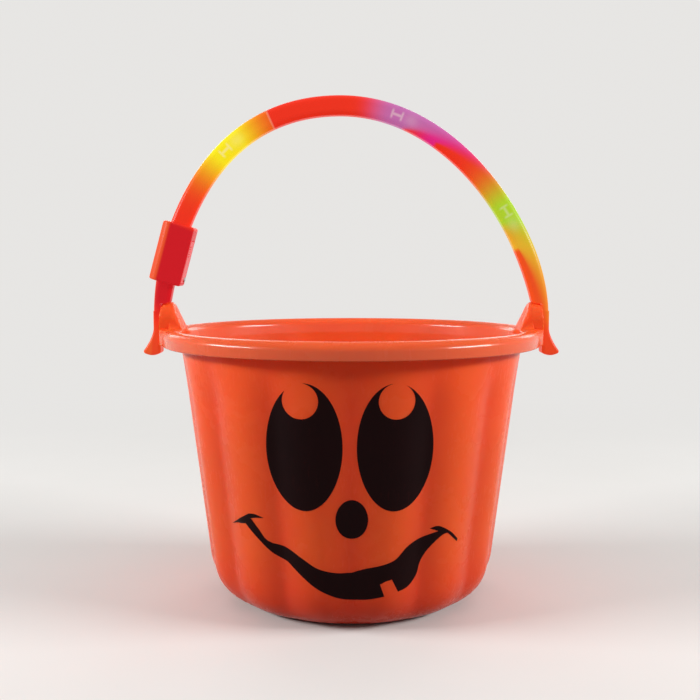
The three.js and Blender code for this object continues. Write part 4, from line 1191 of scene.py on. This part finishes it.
def handle_material():
    """Clear red plastic with its lamps' light painted on: each colour is a painted glow that spreads along
    the tube as far as the next barrier, and the battery box has painted shade, because the cells fill it."""
    material, tree, shader = finish("handle red", GLOWING_CLEAR_RED)
    skin = skin_in(tree, 0.0008, 0.02, 0.2)
    share, across = attribute(tree, "share"), attribute(tree, "across")

    def between(value, limits):
        return ramp(tree, value, *limits, kind="SMOOTHSTEP")

    # Painted light: the tube is drawn oranger towards its right end.
    colour = mixed(tree, between(share, TUBE_LIGHT_CHANGE), "f43620", "f05422")
    # Painted shade: the battery box is drawn darker red.
    box_shade = times(tree, between(share, BOX_SHADE_START), between(share, BOX_SHADE_STOP))
    colour = mixed(tree, box_shade, colour, "d01c25")
    # Painted light: the left foot is drawn oranger.
    colour = mixed(tree, between(share, LEFT_FOOT_LIGHT), colour, "f04a26")
    # Painted highlight: the arm's outer edge is drawn paler.
    outer = times(tree, between(across, EDGE_HIGHLIGHT_ACROSS), between(share, EDGE_HIGHLIGHT_FADE))
    colour = tinted(tree, colour, outer, 0.8, "f4602f")
    for code, *values in GLOWS:
        glow = (share, across, *values)
        glow = put(tree, "ShaderNodeGroup", glow, node_tree=LAMP_GLOW).outputs["Glow"]
        if values[0] < BARRIER_AT:
            glow = times(tree, glow, between(share, BARRIER_EDGE))
        colour = mixed(tree, glow, colour, code)
    # Painted light: the right foot is drawn oranger.
    colour = mixed(tree, between(share, RIGHT_FOOT_LIGHT), colour, "f04a24")
    for rib_at, offset, legs_light in LEGS:
        shadow = (share, across, rib_at, offset)
        shadow = put(tree, "ShaderNodeGroup", shadow, node_tree=PAINTED_LAMP_LIGHT).outputs
        # Painted light: the lamp's glow as a pale cloud and its legs as pale bars.
        colour = tinted(tree, colour, shadow["Cloud"], 0.12, "fff4e4")
        colour = tinted(tree, colour, shadow["Legs"], legs_light, "fff4e4")
    # Painted highlight: a pale line where the barrier rib stands.
    barrier = put(tree, "ShaderNodeGroup", (share, across, BARRIER_AT), node_tree=PAINTED_LAMP_LIGHT)
    colour = tinted(tree, colour, barrier.outputs["Rib"], 0.28, "ffc8a8")
    colour = tinted(tree, colour, skin["Tone"], 0.08, "c8141e")
    feed(tree, shader, {
        **lit(tree, colour, 0.6), "Roughness": lifted(tree, 0.28, skin["Scuff"], 0.3),
        "Normal": bump(tree, skin["Height"], 0.10, 0.0002)})
    return material


handle_red = handle_material()
for name, node, side in (("handle_front", "handle_front_half", -1),
                         ("handle_back", "handle_back_half", 1)):
    half = handle_half(name, side)
    dress(half, handle_red)
    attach(half, "handle")
    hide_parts(node)


# Screws: four self-tapping ones with cross heads close the handle from the back, in plated steel.
# They are turned, threaded and struck, and each came to rest at its own angle.
THREAD_PITCH = 0.0009
THREAD_DEPTH = 0.00024
THREAD_SHAPE = (0.45, 0.70, 0.78)   # where each turn's groove ends and its crest begins and ends
SCREW_EASE = 0.0003                 # rounding of the head's edges and of the point
FIRST_STEP = 0.3                    # of a rounded edge, as a share of it
RECESS = (0.0021, 0.0005, 0.0008)   # length, width and depth of the cross
RECESS_FOOT = 0.45                  # how much narrower it is at its foot
RECESS_OVER = 0.0002                # how far its cutter stands out of the head
SQUARE = ((-1, -1), (1, -1), (1, 1), (-1, 1))


def turned(name, profile, sides=48):
    """A round body from radii and heights along its axis."""
    points = [(radius * math.cos(a), radius * math.sin(a), height)
              for radius, height in profile for a in np.arange(sides) * 2 * math.pi / sides]
    return new_piece(name, as_mesh(name, points, band_faces(len(profile), sides)))


def screw(name, length):
    """One screw, with the top of its head at the origin and its point downwards."""
    ease, root = SCREW_EASE, SCREW_SHANK - THREAD_DEPTH
    step = ease * FIRST_STEP
    profile = [(0, 0), (SCREW_HEAD - ease, 0), (SCREW_HEAD - step, -step), (SCREW_HEAD, -ease),
               (SCREW_HEAD, ease / 3 - SCREW_HEAD_HEIGHT), (SCREW_HEAD - ease / 3, -SCREW_HEAD_HEIGHT)]
    turns = int((length - SCREW_HEAD_HEIGHT - SCREW_SHANK) / THREAD_PITCH)
    for turn in range(turns):
        at = -SCREW_HEAD_HEIGHT - turn * THREAD_PITCH
        groove, rise, fall = (at - THREAD_PITCH * share for share in THREAD_SHAPE)
        profile += [(root, at), (root, groove), (SCREW_SHANK, rise), (SCREW_SHANK, fall)]
    profile += [(root, -SCREW_HEAD_HEIGHT - turns * THREAD_PITCH),
                (SCREW_SHANK * 0.5, -length + ease), (0, -length)]
    made = turned(name, profile, sides=32)
    long, wide, deep = RECESS
    for x, y in ((long, wide), (wide, long)):
        rings = [[(sx * x / 2 * share, sy * y / 2 * share, z) for sx, sy in SQUARE]
                 for z, share in ((RECESS_OVER, 1.0), (-deep, RECESS_FOOT))]
        carve(made, [skinned("recess", rings)])
    smooth(made, angle=30)
    return made


def fasteners_rule():
    """Sets a copy of a screw at each point, along one direction, each turned by its own chance angle."""
    tree, given, result = new_rule("screws in their holes", {
        "Screw": "Object", "Direction": (0, 1, 0), "Seed": 3})
    shape = put(tree, "GeometryNodeObjectInfo", (given["Screw"],)).outputs["Geometry"]
    upright = (None, None, given["Direction"])
    upright = put(tree, "FunctionNodeAlignRotationToVector", upright, axis="Z").outputs[0]
    set_in = put(tree, "GeometryNodeInstanceOnPoints", (given["Geometry"],))
    tree.links.new(shape, set_in.inputs["Instance"])
    tree.links.new(upright, set_in.inputs["Rotation"])
    chance = put(tree, "FunctionNodeRandomValue", (), data_type="FLOAT")
    chance.inputs[3].default_value = math.pi / 2
    tree.links.new(given["Seed"], chance.inputs["Seed"])
    angle = put(tree, "ShaderNodeCombineXYZ", (0.0, 0.0, chance.outputs[1])).outputs[0]
    angle = put(tree, "FunctionNodeEulerToRotation", (angle,)).outputs[0]
    driven = put(tree, "GeometryNodeRotateInstances", (set_in.outputs[0], None, angle)).outputs[0]
    return end_rule(tree, given, result, driven)


METAL_CLOUD = 0.003           # size of the cloudy tone
LINE_STRETCH = (1.0, 0.2, 1.0)


def build_metal_skin():
    """Plated metal: fine drawn lines, a cloudy tone, and darker spots where it has tarnished."""
    tree, given, result = new_rule("metal skin", {
        "Line Size": 0.0002, "Cloud Size": 0.003, "Tarnish Amount": 0.3}, ("Tone", "Height", "Tarnish"))
    place = here(tree)
    cloud = noise(tree, place, maths(tree, "DIVIDE", 1, given["Cloud Size"]), 3.0)
    lines = put(tree, "ShaderNodeMapping", (place, None, None, LINE_STRETCH)).outputs[0]
    lines = noise(tree, lines, maths(tree, "DIVIDE", 1, given["Line Size"]), 2.0)
    spots = times(tree, ramp(tree, cloud, 0.55, 0.72), given["Tarnish Amount"])
    for label, value in (("Tone", cloud), ("Height", lines), ("Tarnish", spots)):
        tree.links.new(value, result[label])
    return tree


METAL_SKIN = build_metal_skin()


def metal(name, light, dark, rough, line_size, tarnish):
    """A plated metal in two tones with its own lines and tarnish."""
    material, tree, shader = finish(name, {"Metallic": 1.0})
    skin = (line_size, METAL_CLOUD, tarnish)
    skin = put(tree, "ShaderNodeGroup", skin, node_tree=METAL_SKIN).outputs
    colour = mixed(tree, skin["Tone"], light, dark)
    feed(tree, shader, {
        "Base Color": mixed(tree, skin["Tarnish"], colour, "4a423a"),
        "Roughness": lifted(tree, rough, skin["Tarnish"], 0.4),
        "Normal": bump(tree, skin["Height"], 0.2, 0.00005)})
    return material


def fastened(name, places, direction, length, place=Matrix()):
    """Screws in their places, as one piece."""
    pattern = screw("pattern", length)
    piece = new_piece(name, as_mesh(name, places, []))
    apply_rule(piece, FASTENERS, Screw=pattern, Direction=direction, Seed=3, Material=screw_steel)
    bpy.data.objects.remove(pattern)
    piece.data.transform(place)
    return piece


FASTENERS = fasteners_rule()
screw_steel = metal("screw steel", "c9c8c4", "a9a8a4", 0.28, 0.00025, 0.35)
handle_screws = fastened("handle_screws", handle_screw_places(), BACK, SCREW_LENGTH)
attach(handle_screws, "handle")
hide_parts("handle_screw_1", "handle_screw_2", "handle_screw_3", "handle_screw_4")


# The battery door: a small plate on the inner side of the box, in the handle's plastic, with ridges
# to grip it by. Its upper end tucks behind the ledge and one screw holds its lower end.
DOOR_EDGE, DOOR_CORNER = 0.0003, 0.0006
RIDGE_COUNT, RIDGE_PITCH, RIDGE_DROP = 5, 0.0016, 0.0100
RIDGE_LENGTH, RIDGE_WIDTH, RIDGE_PROUD, RIDGE_END = 0.0072, 0.0007, 0.00035, 0.0002


def row_rule():
    """A row of copies of a piece, evenly spaced along z from the first one."""
    tree, given, result = new_rule("row of copies", {"Count": 3, "Pitch": 0.002})
    step = put(tree, "ShaderNodeCombineXYZ", (0.0, 0.0, given["Pitch"])).outputs[0]
    row = put(tree, "GeometryNodeMeshLine", (given["Count"], None, None, step), mode="OFFSET").outputs[0]
    copies = put(tree, "GeometryNodeInstanceOnPoints", (row,))
    tree.links.new(given["Geometry"], copies.inputs["Instance"])
    return end_rule(tree, given, result, copies.outputs[0])


def door_material():
    """The handle's red plastic beside the cells, where no lamp reaches: darker red as painted shade, with
    the same painted glow as the handle.
    """
    material, tree, shader = finish("door red", GLOWING_CLEAR_RED)
    skin = skin_in(tree, 0.0008, 0.02, 0.6)
    # Painted shade: darker reds beside the cells.
    colour = mixed(tree, skin["Tone"], "dc2129", "d61c26")
    feed(tree, shader, {
        **lit(tree, colour, 0.6), "Roughness": lifted(tree, 0.2, skin["Scuff"], 0.4),
        "Normal": bump(tree, skin["Height"], 0.15, 0.0002)})
    return material


ROW = row_rule()
door_red = door_material()
low, high = BOX_FLOOR + 2 * FIT, DOOR_TOP
outline = [(DOOR_HALF, low), (DOOR_HALF, high), (-DOOR_HALF, high), (-DOOR_HALF, low)]
outline = np.array(eased(outline, DOOR_CORNER))
centre = outline.mean(axis=0)
face = BOX_WIDTH / 2
rings = []
step = DOOR_EDGE * FIRST_STEP
for level, inset in ((INNER_WIDTH / 2, 0), (face - DOOR_EDGE, 0), (face - step, step), (face, DOOR_EDGE)):
    shrink = 1 - inset / np.abs(outline - centre).max(axis=0)
    rings.append([(level, *point) for point in centre + (outline - centre) * shrink])
door = skinned("battery_door_plate", rings)
upper = [(RIDGE_WIDTH / 2, RIDGE_LENGTH / 2 - RIDGE_END), (RIDGE_WIDTH / 3, RIDGE_LENGTH / 2),
         (0, RIDGE_LENGTH / 2)]
lower = [(radius, -height) for radius, height in reversed(upper)]
ridge = turned("ridge", lower + upper, sides=12)
ridge_place = (face + RIDGE_PROUD - RIDGE_WIDTH / 2, 0, DOOR_TOP - RIDGE_DROP)
ridge.data.transform(Matrix.Translation(ridge_place) @ Matrix.Rotation(math.pi / 2, 4, "X"))
apply_rule(ridge, ROW, Count=RIDGE_COUNT, Pitch=RIDGE_PITCH, Material=door_red)
carve(door, [ridge], "UNION")
carve(door, screw_hole(DOOR_SCREW_PLACE, INWARDS, DOOR_SCREW_LENGTH))
in_box(door)
smooth(door)
dress(door, door_red)
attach(door, "battery_cover")
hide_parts("battery_door")
door_screw = fastened("door_screw", [DOOR_SCREW_PLACE], INWARDS, DOOR_SCREW_LENGTH, BOX_PLACE)
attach(door_screw, "battery_cover")
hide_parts("battery_door_screw")


# The push button on the back of the box: a black dished cap with a flange that keeps it in, and a
# stem that reaches the switch.
BUTTON_FLANGE, BUTTON_FLANGE_HEIGHT = 0.0007, 0.001
BUTTON_PROUD, BUTTON_STEM, BUTTON_PLAY, BUTTON_TRAVEL = 0.0009, 0.0015, 0.0002, 0.0008
BUTTON_DISH, BUTTON_EDGE, STEM_EDGE = 0.0003, 0.0004, 0.0002
SWITCH_BODY, SWITCH_PLUNGER = 0.0035, 0.0015
BOARD_BACK = FIT + BOARD - INNER_DEPTH / 2


def plain_plastic(name, dark, light, rough, grain_size, tone_size=0.003, scuff=0.5, wear=0.3, relief=0.25,
                  specular=0.45):
    """Moulded plastic in one colour, with the moulded skin's tone, grain and scuffs."""
    material, tree, shader = finish(name, {"Specular IOR Level": specular})
    skin = skin_in(tree, grain_size, tone_size, scuff)
    feed(tree, shader, {
        "Base Color": mixed(tree, skin["Tone"], dark, light),
        "Roughness": lifted(tree, rough, skin["Scuff"], wear),
        "Normal": bump(tree, skin["Height"], relief, 0.0001)})
    return material


flange_top = INNER_DEPTH / 2 - FIT
cap_top = BOX_DEPTH / 2 + BUTTON_PROUD
stem_end = BOARD_BACK + FIT + SWITCH_BODY + SWITCH_PLUNGER + BUTTON_TRAVEL + BUTTON_PLAY
flange = BUTTON_RADIUS + BUTTON_FLANGE
profile = [(0, stem_end), (BUTTON_STEM - STEM_EDGE, stem_end), (BUTTON_STEM, stem_end + STEM_EDGE),
           (BUTTON_STEM, flange_top - BUTTON_FLANGE_HEIGHT), (flange, flange_top - BUTTON_FLANGE_HEIGHT),
           (flange, flange_top), (BUTTON_RADIUS, flange_top)]
profile += [(BUTTON_RADIUS - BUTTON_EDGE * (1 - math.cos(a)), cap_top - BUTTON_EDGE * (1 - math.sin(a)))
            for a in np.radians([0, 20, 40, 60, 80, 90])]
profile += [(share * (BUTTON_RADIUS - BUTTON_EDGE), cap_top - BUTTON_DISH * (1 - share * share))
            for share in (0.85, 0.65, 0.45, 0.25, 0)]
button = turned("button_cap", profile, sides=64)
button.data.transform(Matrix.Translation((0, 0, SWITCH_MIDDLE)) @ Matrix.Rotation(-math.pi / 2, 4, "X"))
in_box(button)
smooth(button, angle=35)
dress(button, plain_plastic("button black", "1d1b1c", "2a2728", 0.3, 0.0004, tone_size=0.004, scuff=0.8,
                            wear=0.4, relief=0.3, specular=0.4))
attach(button, "button")
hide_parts("push_button")


# The cells: three button cells in a stack, in polished steel. Each has a can and a smaller cap, with
# a narrow groove between them where the seal lies.
CELL_CAP, CELL_EDGE, CELL_SEAL, CAP_EDGE = 0.0008, 0.0005, 0.0002, 0.0003

cell_steel = metal("cell steel", "d9d9d6", "bcbcb8", 0.18, 0.0003, 0.15)
shoulder = CELL_HEIGHT - CELL_CAP
cap = CELL_RADIUS - CELL_CAP
turn = np.radians([0, 22, 45, 67, 90])
profile = [(0, 0)]
profile += [(CELL_RADIUS - CELL_EDGE * (1 - math.sin(a)), CELL_EDGE * (1 - math.cos(a))) for a in turn]
profile += [(CELL_RADIUS - CELL_EDGE * (1 - math.cos(a)), shoulder - CELL_EDGE * (1 - math.sin(a)))
            for a in turn]
profile += [(cap, shoulder - CELL_SEAL), (cap - CELL_SEAL, shoulder - CELL_SEAL),
            (cap - CELL_SEAL, CELL_HEIGHT - CAP_EDGE), (cap - CELL_SEAL - CAP_EDGE, CELL_HEIGHT),
            (0, CELL_HEIGHT)]
cells = turned("cell_stack", profile, sides=56)
first_cell = POST_TOP + FIT + CONTACT + SPRING_HEIGHT + FIT
cells.data.transform(Matrix.Translation((0, CELL_MIDDLE, first_cell)))
smooth(cells, angle=30)
apply_rule(cells, ROW, Count=CELL_COUNT, Pitch=CELL_HEIGHT + FIT, Material=cell_steel)
in_box(cells)
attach(cells, "handle")
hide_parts("battery_cell_1", "battery_cell_2", "battery_cell_3")


# The contacts at the ends of the stack: a flat nickel-plated plate at the top, and at the bottom one
# with a spring of the same metal, wound as a cone, that presses the cells together.
CONTACT_WIDTH, CONTACT_EDGE = 0.009, 0.0001
COIL_STEPS, WIRE_SIDES = 28, 12
SPRING_WIRE, SPRING_TURNS, SPRING_RADIUS, SPRING_TAPER = 0.0006, 2.5, 0.0038, 0.37
SPRING_SUNK = 0.0001


def spring_rule():
    """A spring of round wire, wound as a cone, set on top of its plate."""
    tree, given, result = new_rule("cone spring", {
        "Turns": 2.5, "Wide Radius": 0.0038, "Narrow Radius": 0.0024, "Height": 0.0026,
        "Wire Radius": 0.0003, "Foot": (0, 0, 0)})
    coil = put(tree, "GeometryNodeCurveSpiral")
    coil.inputs["Resolution"].default_value = COIL_STEPS
    for label, socket in (("Turns", "Rotations"), ("Wide Radius", "Start Radius"),
                          ("Narrow Radius", "End Radius"), ("Height", "Height")):
        tree.links.new(given[label], coil.inputs[socket])
    wire = put(tree, "GeometryNodeCurvePrimitiveCircle")
    wire.inputs["Resolution"].default_value = WIRE_SIDES
    tree.links.new(given["Wire Radius"], wire.inputs["Radius"])
    solid = put(tree, "GeometryNodeCurveToMesh", (coil.outputs[0], wire.outputs[0]))
    solid.inputs["Fill Caps"].default_value = True
    placed = put(tree, "GeometryNodeTransform", (solid.outputs[0],))
    tree.links.new(given["Foot"], placed.inputs["Translation"])
    both = put(tree, "GeometryNodeJoinGeometry")
    tree.links.new(given["Geometry"], both.inputs[0])
    tree.links.new(placed.outputs[0], both.inputs[0])
    return end_rule(tree, given, result, both.outputs[0])


contact_metal = metal("contact nickel", "cfcabb", "b4ae9d", 0.26, 0.0002, 0.25)
half, back = CONTACT_WIDTH / 2, INNER_DEPTH / 2 - FIT
plate, plate_top = POST_TOP + FIT, POST_TOP + FIT + CONTACT
spring = brick((-half, half), (CELL_MIDDLE - half, back), (plate, plate_top))
spring.name = "spring_contact"
step = spring.modifiers.new("edges", "BEVEL")
step.width, step.segments = CONTACT_EDGE, 2
keep(spring)
apply_rule(spring, spring_rule(), Turns=SPRING_TURNS, Wide_Radius=SPRING_RADIUS,
           Narrow_Radius=SPRING_RADIUS * (1 - SPRING_TAPER), Height=SPRING_HEIGHT - SPRING_WIRE,
           Wire_Radius=SPRING_WIRE / 2, Material=contact_metal,
           Foot=(0, CELL_MIDDLE, plate_top - SPRING_SUNK + SPRING_WIRE / 2))
in_box(spring)
smooth(spring, angle=35)
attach(spring, "handle")
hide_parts("battery_spring_contact")
dress(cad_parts["battery_flat_contact"], contact_metal)


# The circuit: a green board along the front of the box, the switch under the button, and a drop of
# black resin over the chip that makes the lamps flash.
TRACKS = (0.0, -BOX_TILT, 0.0), (1.0, 1.0, 0.35)   # their turn and stretch along the board
TRACK_SCALE = 420.0


def board_material():
    """Green solder mask over copper tracks that run along the board."""
    material, tree, shader = finish("board", {"Specular IOR Level": 0.5})
    place = here(tree)
    along = put(tree, "ShaderNodeMapping", (place, None, *TRACKS)).outputs[0]
    tracks = put(tree, "ShaderNodeTexVoronoi", (along,), feature="DISTANCE_TO_EDGE")
    tracks.inputs["Scale"].default_value = TRACK_SCALE
    tracks = ramp(tree, tracks.outputs[0], 0.05, 0.10)
    grain = noise(tree, place, 900.0, 2.0)
    colour = mixed(tree, tracks, "3f8a4a", "245c30")
    feed(tree, shader, {
        "Base Color": tinted(tree, colour, grain, 0.25, "17401f"),
        "Roughness": lifted(tree, 0.25, grain, 0.2),
        "Normal": bump(tree, tracks, 0.3, 0.00004)})
    return material


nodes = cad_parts
dress(nodes["circuit_board"], board_material())
dress(nodes["tact_switch"], plain_plastic("switch black", "151515", "242424", 0.45, 0.0003))
dress(nodes["flasher_chip"], plain_plastic("chip resin", "0b0b0c", "1a1a1c", 0.18, 0.0009))


# The lamps: three clear round-nosed ones that stand on the ribs of the tube and look along it, in
# yellow, purple and green, and the pair of thin insulated wires that feeds them.
def lamp_material(name, deep, bright):
    """Tinted resin with a little cloud in it, lit from inside."""
    material, tree, shader = finish(name, {"Specular IOR Level": 0.5, "Emission Strength": 0.6})
    skin = skin_in(tree, 0.0009, 0.002, 0.2)
    colour = mixed(tree, skin["Tone"], deep, bright)
    feed(tree, shader, {**lit(tree, colour, 0.4), "Roughness": lifted(tree, 0.06, skin["Tone"], 0.1)})
    return material


dress(nodes["lamp_yellow"], lamp_material("yellow lamp", "f0c818", "fff27a"))
dress(nodes["lamp_purple"], lamp_material("purple lamp", "a04c98", "e6a8dc"))
dress(nodes["lamp_green"], lamp_material("green lamp", "86b024", "d6f078"))
dress(nodes["lamp_wire_front"], plain_plastic("red insulation", "8a1414", "a01c1a", 0.4, 0.0005))
dress(nodes["lamp_wire_back"], plain_plastic("black insulation", "181818", "262626", 0.4, 0.0005))


low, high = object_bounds()
